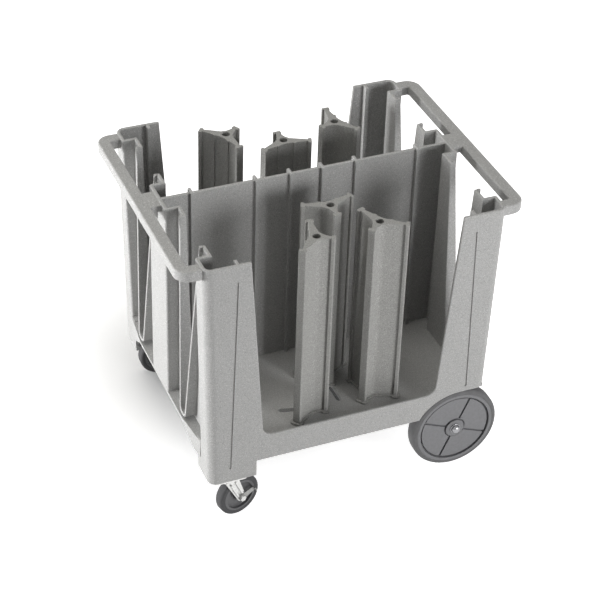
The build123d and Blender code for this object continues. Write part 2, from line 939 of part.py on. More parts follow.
def kingpin():
    """Riveted pin that the fork swivels on, held in the top plate."""
    with BuildPart() as pin:
        with BuildSketch(Plane.XY.offset(crown_bottom - easy - kingpin_head_thickness)):
            Circle(kingpin_diameter / 2 + kingpin_head_border)
        extrude(amount=kingpin_head_thickness)
        with BuildSketch(Plane.XY.offset(crown_bottom - easy)):
            Circle(kingpin_diameter / 2)
        extrude(amount=pod_bottom - crown_bottom + easy)
    return pin.part


def caster_fork():
    """Swivel fork: a crown and two tapered legs."""
    with BuildPart() as fork:
        with BuildSketch(Plane.XY.offset(crown_bottom)):
            Rectangle(crown_length, 2 * fork_outer)
            Circle(race_diameter / 2)
        extrude(amount=crown_thickness)
        for side in (-1, 1):
            with BuildSketch(Plane.XZ.offset(side * fork_middle)):
                with Locations((0, crown_bottom + crown_thickness / 2)):
                    Rectangle(crown_length, crown_thickness)
                with Locations((caster_trail, caster_axle_height)):
                    Circle(fork_eye_radius)
                make_hull()
            extrude(amount=fork_thickness / 2, both=True)
        with BuildSketch(Plane.XZ):
            with Locations((caster_trail, caster_axle_height)):
                Circle(caster_axle_diameter / 2 + running)
        extrude(amount=2 * fork_outer, both=True, mode=Mode.SUBTRACT)
        with BuildSketch(Plane.XY.offset(crown_bottom - cut_over)):
            Circle(kingpin_diameter / 2 + running)
        extrude(amount=crown_thickness + 2 * cut_over, mode=Mode.SUBTRACT)
    return fork.part


def caster_axle(seat):
    """Axle bolt through the fork legs, with its nut and room for what sits under its head."""
    head = caster_axle_diameter * bolt_head_share
    nut_height = caster_axle_diameter * nut_share
    hexagon_radius = caster_axle_diameter * hexagon_share
    place = (caster_trail, caster_axle_height)
    with BuildPart() as bolt:
        with BuildSketch(Plane.XZ.offset(fork_outer + seat)):
            with Locations(place):
                RegularPolygon(hexagon_radius, 6, major_radius=False)
        extrude(amount=head)
        with BuildSketch(Plane.XZ.offset(fork_outer + seat)):
            with Locations(place):
                Circle(caster_axle_diameter / 2)
        extrude(amount=-(2 * fork_outer + seat + nut_height + thread_past_nut))
    with BuildPart() as nut:
        with BuildSketch(Plane.XZ.offset(-fork_outer)):
            with Locations(place):
                RegularPolygon(hexagon_radius, 6, major_radius=False)
                Circle(caster_axle_diameter / 2 + running, mode=Mode.SUBTRACT)
        extrude(amount=-nut_height)
    return Compound(children=[bolt.part, nut.part])


def caster_wheel_core():
    """Wheel core with a longer hub and a dished web."""
    center = (caster_trail, caster_axle_height)
    with BuildPart() as core:
        with BuildSketch(Plane.XZ):
            with Locations(center):
                Circle(caster_core_radius)
        extrude(amount=caster_wheel_width / 2, both=True)
        for face in (1, -1):
            with BuildSketch(Plane.XZ.offset(face * caster_wheel_width / 2)):
                with Locations(center):
                    Circle(caster_core_radius - caster_rim_width)
                    Circle(caster_hub_radius, mode=Mode.SUBTRACT)
            extrude(amount=-face * caster_dish_depth, mode=Mode.SUBTRACT)
        with BuildSketch(Plane.XZ):
            with Locations(center):
                Circle(caster_hub_radius)
        extrude(amount=fork_inner - easy, both=True)
        with BuildSketch(Plane.XZ):
            with Locations(center):
                Circle(caster_axle_diameter / 2 + running)
        extrude(amount=2 * fork_outer, both=True, mode=Mode.SUBTRACT)
    return core.part


def caster_tyre():
    """Tyre of a caster wheel, with rounded shoulders."""
    seat = caster_core_radius + running
    outer = caster_wheel_diameter / 2
    with BuildPart() as tyre:
        with BuildSketch(Plane(caster_axle_center)) as section:
            with Locations(((seat + outer) / 2, 0)):
                Rectangle(outer - seat, caster_wheel_width)
            fillet(section.vertices().sort_by(Axis.X)[-2:], caster_tyre_shoulder)
        revolve(axis=Axis(caster_axle_center, (0, 1, 0)))
    return tyre.part


def brake_lever():
    """Side brake lever: an eye on the axle bolt and an arm with a tab that is bent outwards."""
    inner = fork_outer + easy
    turn = math.radians(brake_arm_angle)
    tip = (brake_arm_length * math.cos(turn), brake_arm_length * math.sin(turn))
    with BuildPart() as lever:
        with BuildSketch(Plane.XZ.offset(inner)):
            with Locations((caster_trail, caster_axle_height)):
                Circle(brake_eye_radius)
                with Locations(tip):
                    Rectangle(brake_thickness, brake_arm_width, rotation=brake_arm_angle)
            make_hull()
        extrude(amount=brake_thickness)
        with BuildSketch(Plane.XZ.offset(inner)):
            with Locations((caster_trail, caster_axle_height)):
                with Locations(tip):
                    Rectangle(brake_thickness, brake_arm_width, rotation=brake_arm_angle)
        extrude(amount=brake_thickness + brake_tab_length)
        with BuildSketch(Plane.XZ.offset(inner - cut_over)):
            with Locations((caster_trail, caster_axle_height)):
                Circle(caster_axle_diameter / 2 + running)
        extrude(amount=brake_thickness + 2 * cut_over, mode=Mode.SUBTRACT)
    return lever.part


fixed_pieces = (
    ("caster_plate", caster_plate()),
    ("caster_bolts", caster_bolts()),
    ("caster_kingpin", kingpin()),
)
turning_pieces = (
    ("caster_fork", caster_fork()),
    ("caster_wheel_core", caster_wheel_core()),
    ("caster_tyre", caster_tyre()),
)
front_caster = Location((-caster_place, -caster_half_track, 0))
back_caster = Location((-caster_place, caster_half_track, 0))
front_turned = front_caster * Rotation(0, 0, front_caster_heading)
back_turned = back_caster * Rotation(0, 0, back_caster_heading)
for name, piece in fixed_pieces:
    save(piece.moved(front_caster), f"{name}_front")
    save(piece.moved(back_caster), f"{name}_back")
for name, piece in turning_pieces:
    save(piece.moved(front_turned), f"{name}_front")
    save(piece.moved(back_turned), f"{name}_back")
save(caster_axle(brake_seat).moved(front_turned), "caster_axle_front")
save(caster_axle(0).moved(back_turned), "caster_axle_back")
save(brake_lever().moved(front_turned), "brake_lever_front")


# Towers, made on the Z axis with the short arm towards -X

def arm_point(angle, radius, aside):
    """A point along an arm's direction and to its left."""
    turn = math.radians(angle)
    x = radius * math.cos(turn) - aside * math.sin(turn)
    y = radius * math.sin(turn) + aside * math.cos(turn)
    return (x, y)


def is_tip_corner(vertex):
    """Whether a vertex of the tower's plan is one of the outer corners of an arm's tip."""
    reach = math.hypot(vertex.X, vertex.Y)
    return any(near(reach, math.hypot(tip, tip_width / 2)) for _, tip in tower_arms)


def tower_section():
    """Plan of a tower: three arms with wide tips, a flat crease between them and ribs on the wide face."""
    corners = []
    for index, (angle, tip) in enumerate(tower_arms):
        next_angle = tower_arms[(index + 1) % len(tower_arms)][0]
        middle = angle + ((next_angle - angle) % 360) / 2
        neck = tip - tip_thickness
        corners += [
            arm_point(angle, neck, -neck_width / 2),
            arm_point(angle, neck, -tip_width / 2),
            arm_point(angle, tip, -tip_width / 2),
            arm_point(angle, tip, tip_width / 2),
            arm_point(angle, neck, tip_width / 2),
            arm_point(angle, neck, neck_width / 2),
            arm_point(middle, throat, -crease_half),
            arm_point(middle, throat, crease_half),
        ]
    with BuildSketch() as section:
        Polygon(*corners, align=None)
        fillet(section.vertices().filter_by(is_tip_corner), tip_rounding)
        with Locations((throat, face_rib_place), (throat, -face_rib_place)):
            Rectangle(2 * face_rib_depth, face_rib_width)
    return section.sketch


def tower_core():
    """Plan of the hollow inside a tower."""
    with BuildSketch() as core:
        Circle(tower_core_radius)
        for angle, tip in tower_arms:
            reach = tip - tip_thickness - core_tip_wall
            Polygon(
                arm_point(angle, 0, -core_arm_root / 2),
                arm_point(angle, reach, -core_arm_end / 2),
                arm_point(angle, reach, core_arm_end / 2),
                arm_point(angle, 0, core_arm_root / 2),
                align=None,
            )
    return core.sketch


def tower():
    """One tower, hollow from below, with a flared foot and a deep round hole in its top."""
    section = tower_section()
    flare = offset(section, amount=foot_flare, mode=Mode.PRIVATE)
    core = tower_core()
    with BuildPart() as post:
        extrude(section.moved(Location((0, 0, tower_foot))), amount=tower_top - tower_foot)
        fillet(post.faces().sort_by(Axis.Z)[-1].edges(), tower_edge_rounding)
        extrude(flare.moved(Location((0, 0, tower_foot))), amount=foot_thickness)
        hollow = tower_top - tower_hole_depth - bulkhead - tower_foot
        extrude(core.moved(Location((0, 0, tower_foot))), amount=hollow, mode=Mode.SUBTRACT)
        with BuildSketch(Plane.XY.offset(rod_seat)):
            Circle(rod_head_radius + tower_hole_gap)
        extrude(amount=tower_hole_depth, mode=Mode.SUBTRACT)
        with BuildSketch(Plane.XY.offset(rod_seat - bulkhead)):
            Circle(rod_diameter / 2 + running)
        extrude(amount=bulkhead, mode=Mode.SUBTRACT)
    return post.part


def tie_rod():
    """Rod with a round head in the tower's top and its end below the clamp knob."""
    foot = floor_bottom - easy - knob_height
    head_seat = rod_seat + easy
    with BuildPart() as rod:
        with BuildSketch(Plane.XY.offset(foot)):
            Circle(rod_diameter / 2)
        extrude(amount=head_seat - foot)
        with BuildSketch(Plane.XY.offset(head_seat)):
            Circle(rod_head_radius)
        extrude(amount=rod_head_thickness)
        with BuildSketch(Plane.XY.offset(head_seat + rod_head_thickness - rod_socket_depth)):
            RegularPolygon(rod_socket_width / 2, 6, major_radius=False)
        extrude(amount=rod_socket_depth, mode=Mode.SUBTRACT)
    return rod.part


def slide_block(direction):
    """Block that runs in a floor slot, with a round spigot above the floor in the tower's foot."""
    with BuildPart() as block:
        with BuildSketch(Plane.XY.offset(floor_bottom)):
            SlotOverall(slide_block_length, slot_width - 2 * easy, rotation=direction)
        extrude(amount=floor_thickness + easy)
        with BuildSketch(Plane.XY.offset(floor_top + easy)):
            Circle(tower_core_radius - easy)
        extrude(amount=spigot_height)
        with BuildSketch(Plane.XY.offset(floor_bottom - cut_over)):
            Circle(rod_diameter / 2 + running)
        extrude(amount=floor_thickness + spigot_height + easy + 2 * cut_over, mode=Mode.SUBTRACT)
    return block.part


def clamp_knob():
    """Lobed hand knob under the floor."""
    with BuildPart() as knob:
        with BuildSketch(Plane.XY.offset(floor_bottom - easy - knob_height)):
            Circle(knob_diameter / 2)
            with PolarLocations(knob_diameter / 2 + knob_scallop_radius / 2, knob_lobes):
                Circle(knob_scallop_radius, mode=Mode.SUBTRACT)
            Circle(rod_diameter / 2 + running, mode=Mode.SUBTRACT)
        extrude(amount=knob_height)
    return knob.part


tower_body = tower()
rod_body = tie_rod()
knob_body = clamp_knob()
for name, side, x, inset, turn, direction, _, _ in towers:
    place = Location((x, side * (side_face - inset), 0))
    save(tower_body.moved(place * Rotation(0, 0, turn - 180)), f"tower_{name}")
    save(rod_body.moved(place), f"tie_rod_{name}")
    save(slide_block(direction).moved(place), f"slide_block_{name}")
    save(knob_body.moved(place), f"clamp_knob_{name}")
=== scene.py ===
"""Plate cart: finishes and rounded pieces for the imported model, laid out as an add-on and run as a script."""
import json
import math

import bpy
from bpy.props import FloatProperty, FloatVectorProperty, IntProperty, PointerProperty
from bpy.types import Operator, Panel, PropertyGroup
from mathutils import Matrix, Vector


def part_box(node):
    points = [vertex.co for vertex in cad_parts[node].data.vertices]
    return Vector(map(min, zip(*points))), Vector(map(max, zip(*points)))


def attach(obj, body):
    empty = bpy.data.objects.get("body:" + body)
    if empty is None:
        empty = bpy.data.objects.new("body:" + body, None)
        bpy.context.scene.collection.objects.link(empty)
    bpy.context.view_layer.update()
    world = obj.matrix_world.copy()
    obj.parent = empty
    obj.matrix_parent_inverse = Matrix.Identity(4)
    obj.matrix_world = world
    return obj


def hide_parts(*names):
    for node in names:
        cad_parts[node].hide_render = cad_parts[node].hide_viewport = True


bl_info = {
    "name": "Plate Cart",
    "version": (1, 0, 0),
    "blender": (4, 5, 0),
    "location": "View3D > Sidebar > Plate Cart",
    "description": "Models and finishes a moulded plate cart round its packed frame",
    "category": "Object",
}

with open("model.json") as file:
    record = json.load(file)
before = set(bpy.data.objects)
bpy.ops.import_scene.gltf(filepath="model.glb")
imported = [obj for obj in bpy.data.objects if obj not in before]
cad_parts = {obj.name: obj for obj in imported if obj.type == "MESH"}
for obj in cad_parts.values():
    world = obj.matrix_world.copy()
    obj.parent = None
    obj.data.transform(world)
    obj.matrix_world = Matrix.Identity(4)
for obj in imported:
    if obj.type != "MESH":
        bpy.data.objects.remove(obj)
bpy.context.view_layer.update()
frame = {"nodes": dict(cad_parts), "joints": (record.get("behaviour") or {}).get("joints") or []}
tower_places = ("front_left", "front_middle", "front_right", "back_left", "back_middle", "back_right")
sides = ("front", "back")

# Rounding: steps across an edge, and the angles past which two faces keep an edge between them
bevel_segments = 2
sharp_angle = math.radians(40)
cap_sharp_angle = math.radians(50)

# Copies of CAD nodes: points this close are merged, and faces this flat become one
node_merge = 0.00001
flat_angle = math.radians(0.4)

# Turned pieces: the plane that shrinks to a first point, and the merging of the outline and of the full turn
starter_size = 0.001
outline_merge = 0.000001
seam_merge = 0.000005

# Play between a tyre and its rim, and how far a cutting block reaches past the surface
tyre_fit = 0.00005
cutter_overlap = 0.002

# Steps of the arcs in the turned outlines
lip_steps = 4
shoulder_steps = 8
caster_shoulder_steps = 6
dome_steps = 12

# The range that holds most of a noise pattern
pattern_low, pattern_high = 0.3, 0.7

# Sockets of the Mix node for colours
mix_share, mix_first, mix_second, mix_result = 0, 6, 7, 2


# Sizes, colours and stage settings

class PlateCartColours(PropertyGroup):
    """Colours of the cart's finishes."""
    body: FloatVectorProperty(
        name="Body", description="Grey of the moulded body",
        subtype="COLOR", size=3, min=0, max=1, default=(0.425, 0.424, 0.419))
    tower: FloatVectorProperty(
        name="Tower", description="Darker and warmer grey of the towers",
        subtype="COLOR", size=3, min=0, max=1, default=(0.345, 0.343, 0.331))
    wheel: FloatVectorProperty(
        name="Wheel disc", description="Grey of the large wheels' discs",
        subtype="COLOR", size=3, min=0, max=1, default=(0.182, 0.182, 0.190))
    tyre: FloatVectorProperty(
        name="Tyre", description="Grey of the large wheels' tyres",
        subtype="COLOR", size=3, min=0, max=1, default=(0.142, 0.142, 0.145))
    caster_tyre: FloatVectorProperty(
        name="Caster tyre", description="Dark rubber of the casters",
        subtype="COLOR", size=3, min=0, max=1, default=(0.066, 0.066, 0.069))
    caster_core: FloatVectorProperty(
        name="Caster core", description="Dark plastic of the casters' cores",
        subtype="COLOR", size=3, min=0, max=1, default=(0.100, 0.100, 0.104))
    zinc: FloatVectorProperty(
        name="Zinc plating", description="Colour of the plated steel",
        subtype="COLOR", size=3, min=0, max=1, default=(0.62, 0.62, 0.61))
    # Painted reflection: the caps' metal colour is set dark so that their reflections stand in for dark
    # surroundings
    chrome: FloatVectorProperty(
        name="Bright cap", description="Colour of the polished axle caps",
        subtype="COLOR", size=3, min=0, max=1, default=(0.30, 0.30, 0.31))
    nylon: FloatVectorProperty(
        name="Nylon", description="Grey of the bushes and slide blocks",
        subtype="COLOR", size=3, min=0, max=1, default=(0.20, 0.20, 0.19))
    knob: FloatVectorProperty(
        name="Knob", description="Black of the clamp knobs and the rods",
        subtype="COLOR", size=3, min=0, max=1, default=(0.018, 0.018, 0.019))


class PlateCartGrain(PropertyGroup):
    """Sizes of the grain in the finishes."""
    speck: FloatProperty(
        name="Speck", description="Size of the specks in the moulded plastic",
        unit="LENGTH", default=0.0019)
    mottle: FloatProperty(
        name="Mottle", description="Size of the soft patches in the moulded plastic",
        unit="LENGTH", default=0.005)
    cloud: FloatProperty(
        name="Cloud", description="Size of the broad shade changes over the body",
        unit="LENGTH", default=0.16)
    pebble: FloatProperty(
        name="Pebble", description="Size of the pebbles in the moulded skin",
        unit="LENGTH", default=0.0026)
    spangle: FloatProperty(
        name="Spangle", description="Size of the crystals in the zinc plating",
        unit="LENGTH", default=0.003)


class PlateCartWheels(PropertyGroup):
    """Sizes of the turned wheels and of the axle caps."""
    steps: IntProperty(name="Steps", description="Steps round a turned piece", default=120, min=24)
    rim_radius: FloatProperty(
        name="Rim radius", description="Radius of the disc under the tyre", unit="LENGTH", default=0.113)
    tyre_shoulder: FloatProperty(
        name="Tyre shoulder", description="Rounding of the tyre's shoulders", unit="LENGTH", default=0.011)
    tyre_lip: FloatProperty(
        name="Tyre lip", description="Rounding where the tyre meets the rim", unit="LENGTH", default=0.0012)
    ring_width: FloatProperty(
        name="Ring width", description="Width of the disc's outer ring", unit="LENGTH", default=0.009)
    groove_width: FloatProperty(
        name="Groove width", description="Width of the groove inside the ring", unit="LENGTH", default=0.005)
    groove_depth: FloatProperty(
        name="Groove depth", description="Depth of the groove inside the ring", unit="LENGTH", default=0.008)
    disc_setback: FloatProperty(
        name="Disc setback", description="How far the disc lies behind the ring",
        unit="LENGTH", default=0.003)
    disc_thickness: FloatProperty(
        name="Disc thickness", description="Thickness of the disc", unit="LENGTH", default=0.013)
    hub_radius: FloatProperty(
        name="Hub radius", description="Radius of the hub", unit="LENGTH", default=0.027)
    bore_radius: FloatProperty(
        name="Bore radius", description="Radius of the hub's bore", unit="LENGTH", default=0.01205)
    hub_groove_width: FloatProperty(
        name="Hub groove width", description="Width of the groove round the hub",
        unit="LENGTH", default=0.004)
    hub_groove_depth: FloatProperty(
        name="Hub groove depth", description="Depth of the groove round the hub",
        unit="LENGTH", default=0.005)
    spoke_grooves: IntProperty(
        name="Radial grooves", description="Number of radial grooves in the disc", default=4, min=1)
    spoke_width: FloatProperty(
        name="Radial groove width", description="Width of a radial groove", unit="LENGTH", default=0.006)
    spoke_depth: FloatProperty(
        name="Radial groove depth", description="Depth of a radial groove", unit="LENGTH", default=0.006)
    spoke_turn: FloatProperty(
        name="Radial groove turn", description="Turn of the first radial groove",
        subtype="ANGLE", default=math.radians(67))
    cap_flange: FloatProperty(
        name="Cap flange", description="Thickness of the axle cap's flange", unit="LENGTH", default=0.0028)
    cap_step: FloatProperty(
        name="Cap step", description="How far the dome lies inside the flange", unit="LENGTH", default=0.0022)
    cap_edge: FloatProperty(
        name="Cap edge", description="Chamfer of the flange's edges", unit="LENGTH", default=0.0006)
    cap_root: FloatProperty(
        name="Cap root", description="Width of the slope at the foot of the dome",
        unit="LENGTH", default=0.0004)
    cap_gap: FloatProperty(
        name="Cap gap", description="Gap between the bush and the cap", unit="LENGTH", default=0.0003)
    cap_fullness: FloatProperty(
        name="Cap fullness", description="Shape of the dome: round at 1, fuller below it", default=0.8)


class PlateCartCasters(PropertyGroup):
    """Sizes of the turned caster wheels and of the forks' ribs."""
    core_radius: FloatProperty(
        name="Core radius", description="Radius of the core under the tyre", unit="LENGTH", default=0.0485)
    tyre_shoulder: FloatProperty(
        name="Tyre shoulder", description="Rounding of the tyre's shoulders", unit="LENGTH", default=0.007)
    rim_width: FloatProperty(
        name="Rim width", description="Width of the core's rim", unit="LENGTH", default=0.007)
    dish_depth: FloatProperty(
        name="Dish depth", description="Depth of the core's dish", unit="LENGTH", default=0.008)
    hub_radius: FloatProperty(
        name="Hub radius", description="Radius of the core's hub", unit="LENGTH", default=0.016)
    hub_half: FloatProperty(
        name="Hub half length", description="Half the length of the hub", unit="LENGTH", default=0.0177)
    bore_radius: FloatProperty(
        name="Bore radius", description="Radius of the hub's bore", unit="LENGTH", default=0.00505)
    rib_width: FloatProperty(
        name="Fork rib width", description="Width of the ribs on the fork's legs",
        unit="LENGTH", default=0.005)
    rib_height: FloatProperty(
        name="Fork rib height", description="How far the ribs stand out", unit="LENGTH", default=0.0024)
    rib_spread: FloatProperty(
        name="Fork rib spread", description="Distance of a rib from the middle of its leg",
        unit="LENGTH", default=0.0075)
    rib_top: FloatProperty(
        name="Fork rib top", description="How far below the crown the ribs begin",
        unit="LENGTH", default=0.006)
    rib_foot: FloatProperty(
        name="Fork rib foot", description="How far above the axle the ribs end", unit="LENGTH", default=0.017)


class PlateCartEdges(PropertyGroup):
    """Rounding of the edges, and the towers' creases that stay sharp."""
    tower: FloatProperty(
        name="Tower edge", description="Rounding of the towers' edges", unit="LENGTH", default=0.001)
    crease_reach: FloatProperty(
        name="Crease reach", description="How far from a tower's axis its creases stay sharp",
        unit="LENGTH", default=0.026)
    crease_length: FloatProperty(
        name="Crease length", description="Shortest upright edge that counts as a crease",
        unit="LENGTH", default=0.1)
    disc: FloatProperty(
        name="Disc edge", description="Rounding of the wheel discs' edges", unit="LENGTH", default=0.001)
    metal: FloatProperty(
        name="Metal edge", description="Rounding of the pressed steel's edges", unit="LENGTH", default=0.0007)
    fastener: FloatProperty(
        name="Fastener edge", description="Chamfer of bolts and nuts", unit="LENGTH", default=0.0006)


class PlateCartStage(PropertyGroup):
    """Camera, lamps and floor."""
    lens: FloatProperty(
        name="Lens", description="Focal length of the camera", subtype="DISTANCE_CAMERA", default=111.894)
    sensor: FloatProperty(
        name="Sensor", description="Width of the camera's sensor", subtype="DISTANCE_CAMERA", default=36.0)
    camera_place: FloatVectorProperty(
        name="Camera place", description="Where the camera stands",
        subtype="TRANSLATION", size=3, default=(-1.6497, -3.8002, 3.4481))
    camera_turn: FloatProperty(
        name="Camera turn", description="Direction of view about the upright axis",
        subtype="ANGLE", default=math.radians(-22.675))
    camera_tilt: FloatProperty(
        name="Camera tilt", description="Height of the camera above the horizon",
        subtype="ANGLE", default=math.radians(35.670))
    camera_roll: FloatProperty(
        name="Camera roll", description="Roll about the line of view",
        subtype="ANGLE", default=math.radians(1.577))
    camera_shift: FloatVectorProperty(
        name="Camera shift", description="Shift of the picture in frame widths",
        size=2, default=(0.03153, -0.0355))
    ambient: FloatProperty(name="Ambient", description="Strength of the surrounding light", default=0.115)
    left_power: FloatProperty(name="Left lamp", description="Power of the lamp on the left", default=182.0)
    left_place: FloatVectorProperty(
        name="Left lamp place", description="Where the lamp on the left hangs",
        subtype="TRANSLATION", size=3, default=(-4.0, 0.9, 0.7))
    left_colour: FloatVectorProperty(
        name="Left lamp colour", description="Colour of the lamp on the left",
        subtype="COLOR", size=3, min=0, max=1, default=(1.0, 1.0, 1.0))
    left_size: FloatProperty(
        name="Left lamp size", description="Width of the lamp on the left", unit="LENGTH", default=1.2)
    front_power: FloatProperty(name="Front lamp", description="Power of the lamp in front", default=100.0)
    front_place: FloatVectorProperty(
        name="Front lamp place", description="Where the lamp in front hangs",
        subtype="TRANSLATION", size=3, default=(1.9, -3.6, 1.3))
    front_colour: FloatVectorProperty(
        name="Front lamp colour", description="Colour of the lamp in front",
        subtype="COLOR", size=3, min=0, max=1, default=(1.0, 1.0, 1.0))
    front_size: FloatProperty(
        name="Front lamp size", description="Width of the lamp in front", unit="LENGTH", default=1.6)
    top_power: FloatProperty(name="Top lamp", description="Power of the lamp overhead", default=62.0)
    top_place: FloatVectorProperty(
        name="Top lamp place", description="Where the lamp overhead hangs",
        subtype="TRANSLATION", size=3, default=(-0.8, 0.6, 3.8))
    top_colour: FloatVectorProperty(
        name="Top lamp colour", description="Colour of the lamp overhead",
        subtype="COLOR", size=3, min=0, max=1, default=(1.0, 0.985, 0.935))
    top_size: FloatProperty(
        name="Top lamp size", description="Width of the lamp overhead", unit="LENGTH", default=2.4)
    lamp_target: FloatVectorProperty(
        name="Lamp target", description="The point that the lamps look at",
        subtype="TRANSLATION", size=3, default=(0.0, 0.0, 0.45))
    floor_size: FloatProperty(name="Floor", description="Width of the floor", unit="LENGTH", default=12.0)
    floor_grey: FloatProperty(
        name="Floor grey", description="How much light the floor sends back", default=0.8)
    # Painted shadow: the floor's glow fades towards this point, which darkens the floor beside and under the
    # cart on top of the real shadow that its grey keeps
    painted_shadow_center: FloatVectorProperty(
        name="Shade centre", description="Middle of the cart's pale shadow",
        subtype="TRANSLATION", size=3, default=(-0.12, 0.32, 0.0))
    painted_shadow_near: FloatProperty(
        name="Shade start", description="Distance from the shadow's middle where the floor's glow begins",
        unit="LENGTH", default=0.0)
    painted_shadow_far: FloatProperty(
        name="Shade end", description="Distance from the shadow's middle where the floor is white",
        unit="LENGTH", default=0.88)
    # Painted shade: where the cart covers the floor near the middle below, the floor's grey and glow are
    # darkened, so that the ground seen through the floor slots is dark
    cover_reach: FloatProperty(
        name="Cover reach", description="How far above the floor something still covers it",
        unit="LENGTH", default=0.6)
    cover_full: FloatProperty(
        name="Full cover", description="Openness to the sky at which the floor counts as covered",
        default=0.26)
    cover_none: FloatProperty(
        name="No cover", description="Openness to the sky at which the floor counts as free",
        default=0.42)
    painted_shade_center: FloatVectorProperty(
        name="Dark centre", description="Middle of the ground that is seen through the floor slots",
        subtype="TRANSLATION", size=3, default=(0.1, 0.3, 0.0))
    painted_shade_near: FloatProperty(
        name="Dark start", description="Distance from that middle up to which cover darkens the floor",
        unit="LENGTH", default=0.36)
    painted_shade_far: FloatProperty(
        name="Dark end", description="Distance from that middle where cover no longer darkens it",
        unit="LENGTH", default=0.46)
    painted_shade_share: FloatProperty(
        name="Dark share", description="Share of the floor's grey that is left where it is dark", default=0.2)


# Selecting, copying and shaping

def pick(piece):
    """Makes one object the only selected and active one."""
    bpy.ops.object.select_all(action="DESELECT")
    piece.select_set(True)
    bpy.context.view_layer.objects.active = piece


def name_piece(piece, name):
    """Gives an object and its mesh one name."""
    piece.name = name
    piece.data.name = name


def edit_all():
    """Opens the active mesh with everything selected."""
    bpy.ops.object.mode_set(mode="EDIT")
    bpy.ops.mesh.select_all(action="SELECT")


def end_edit():
    """Closes the active mesh."""
    bpy.ops.object.mode_set(mode="OBJECT")


def round_edges(piece, width):
    """Rounds a piece's sharp edges, while its flat faces keep a flat shade."""
    pick(piece)
    bpy.ops.object.modifier_add(type="BEVEL")
    bevel = piece.modifiers[-1]
    bevel.width = width
    bevel.segments = bevel_segments
    bevel.limit_method = "ANGLE"
    bevel.angle_limit = sharp_angle
    bevel.use_clamp_overlap = True
    bevel.miter_outer = "MITER_ARC"
    bpy.ops.object.modifier_apply(modifier=bevel.name)
    bpy.ops.object.shade_smooth_by_angle(angle=sharp_angle, keep_sharp_edges=True)
    bpy.ops.object.modifier_add(type="WEIGHTED_NORMAL")
    shading = piece.modifiers[-1]
    shading.keep_sharp = True
    bpy.ops.object.modifier_apply(modifier=shading.name)


def smooth_faces(piece, angle):
    """Shades a piece smooth, apart from the edges that are sharper than an angle."""
    pick(piece)
    bpy.ops.object.shade_smooth_by_angle(angle=angle)


def copy_of_node(node, name):
    """A merged copy of a CAD node's mesh, its flat faces whole again."""
    piece = bpy.data.objects.new(name, frame["nodes"][node].data.copy())
    bpy.context.scene.collection.objects.link(piece)
    piece.data.name = name
    pick(piece)
    bpy.ops.mesh.customdata_custom_splitnormals_clear()
    edit_all()
    bpy.ops.mesh.remove_doubles(threshold=node_merge)
    bpy.ops.mesh.dissolve_limited(angle_limit=flat_angle)
    end_edit()
    return piece


def rounded_copy(node, name, width):
    """A copy of a CAD node with rounded edges."""
    piece = copy_of_node(node, name)
    round_edges(piece, width)
    return piece


def add_block(place, turn, size):
    """A block of a given size, turned and set in its place."""
    bpy.ops.object.select_all(action="DESELECT")
    bpy.ops.mesh.primitive_cube_add(size=1, location=place, rotation=turn, scale=size)
    return bpy.context.object


def turned_piece(name, outline, center, axis, steps):
    """A round piece: a point drawn along a half section of radius and place, spun about an axis."""
    center, axis = Vector(center), Vector(axis).normalized()
    points = [center + Vector((0, 0, radius)) + axis * along for radius, along in outline]
    bpy.ops.object.select_all(action="DESELECT")
    bpy.ops.mesh.primitive_plane_add(size=starter_size)
    piece = bpy.context.object
    name_piece(piece, name)
    edit_all()
    bpy.ops.mesh.merge(type="CENTER")
    bpy.ops.transform.translate(value=points[0])
    for before, after in zip(points, points[1:]):
        bpy.ops.mesh.extrude_vertices_move(TRANSFORM_OT_translate={"value": after - before})
    bpy.ops.mesh.select_all(action="SELECT")
    bpy.ops.mesh.remove_doubles(threshold=outline_merge)
    bpy.ops.mesh.select_all(action="SELECT")
    bpy.ops.mesh.spin(steps=steps, angle=2 * math.pi, center=center, axis=axis)
    bpy.ops.mesh.select_all(action="SELECT")
    bpy.ops.mesh.remove_doubles(threshold=seam_merge)
    bpy.ops.mesh.normals_make_consistent(inside=False)
    end_edit()
    return piece


def arc(center, radius, start, end, steps):
    """Points of an arc in a half section, its angles in degrees from outwards towards the axis direction."""
    turns = [math.radians(start + (end - start) * step / steps) for step in range(steps + 1)]
    return [(center[0] + radius * math.cos(turn), center[1] + radius * math.sin(turn)) for turn in turns]


def cut_with(piece, cutters):
    """Cuts the space of several blocks out of a piece and removes the blocks."""
    for cutter in cutters:
        pick(piece)
        bpy.ops.object.modifier_add(type="BOOLEAN")
        cut = piece.modifiers[-1]
        cut.operation = "DIFFERENCE"
        cut.solver = "EXACT"
        cut.object = cutter
        bpy.ops.object.modifier_apply(modifier=cut.name)
        pick(cutter)
        bpy.ops.object.delete()


def place_piece(piece, body, slot, material, *nodes):
    """Gives a piece its finish and its body, and hides the CAD nodes that it stands for; the slot is not used.
    """
    piece.data.materials.clear()
    piece.data.materials.append(material)
    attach(piece, body)
    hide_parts(*nodes)


def dress_node(node, material):
    """Gives a CAD node its finish."""
    shown = frame["nodes"].get(node)
    if shown is None:
        raise RuntimeError(f"the frame has no node {node}")
    for material_slot in shown.material_slots:
        material_slot.material = material


def joint_of(name):
    """A joint of the frame by its name."""
    for joint in frame["joints"]:
        if joint["name"] == name:
            return joint
    raise RuntimeError(f"the frame has no joint {name}")


# Materials

def new_finish(name):
    """A material with its shader and its object coordinates."""
    material = bpy.data.materials.new(name)
    material.use_nodes = True
    tree = material.node_tree
    shader = tree.nodes["Principled BSDF"]
    coordinates = tree.nodes.new("ShaderNodeTexCoord").outputs["Object"]
    return material, tree, shader, coordinates


def noise(tree, coordinates, size, detail=2.0, roughness=0.5):
    """Noise of a given size in metres, from 0 to 1."""
    node = tree.nodes.new("ShaderNodeTexNoise")
    node.inputs["Scale"].default_value = 1 / size
    node.inputs["Detail"].default_value = detail
    node.inputs["Roughness"].default_value = roughness
    tree.links.new(coordinates, node.inputs["Vector"])
    return node.outputs["Fac"]


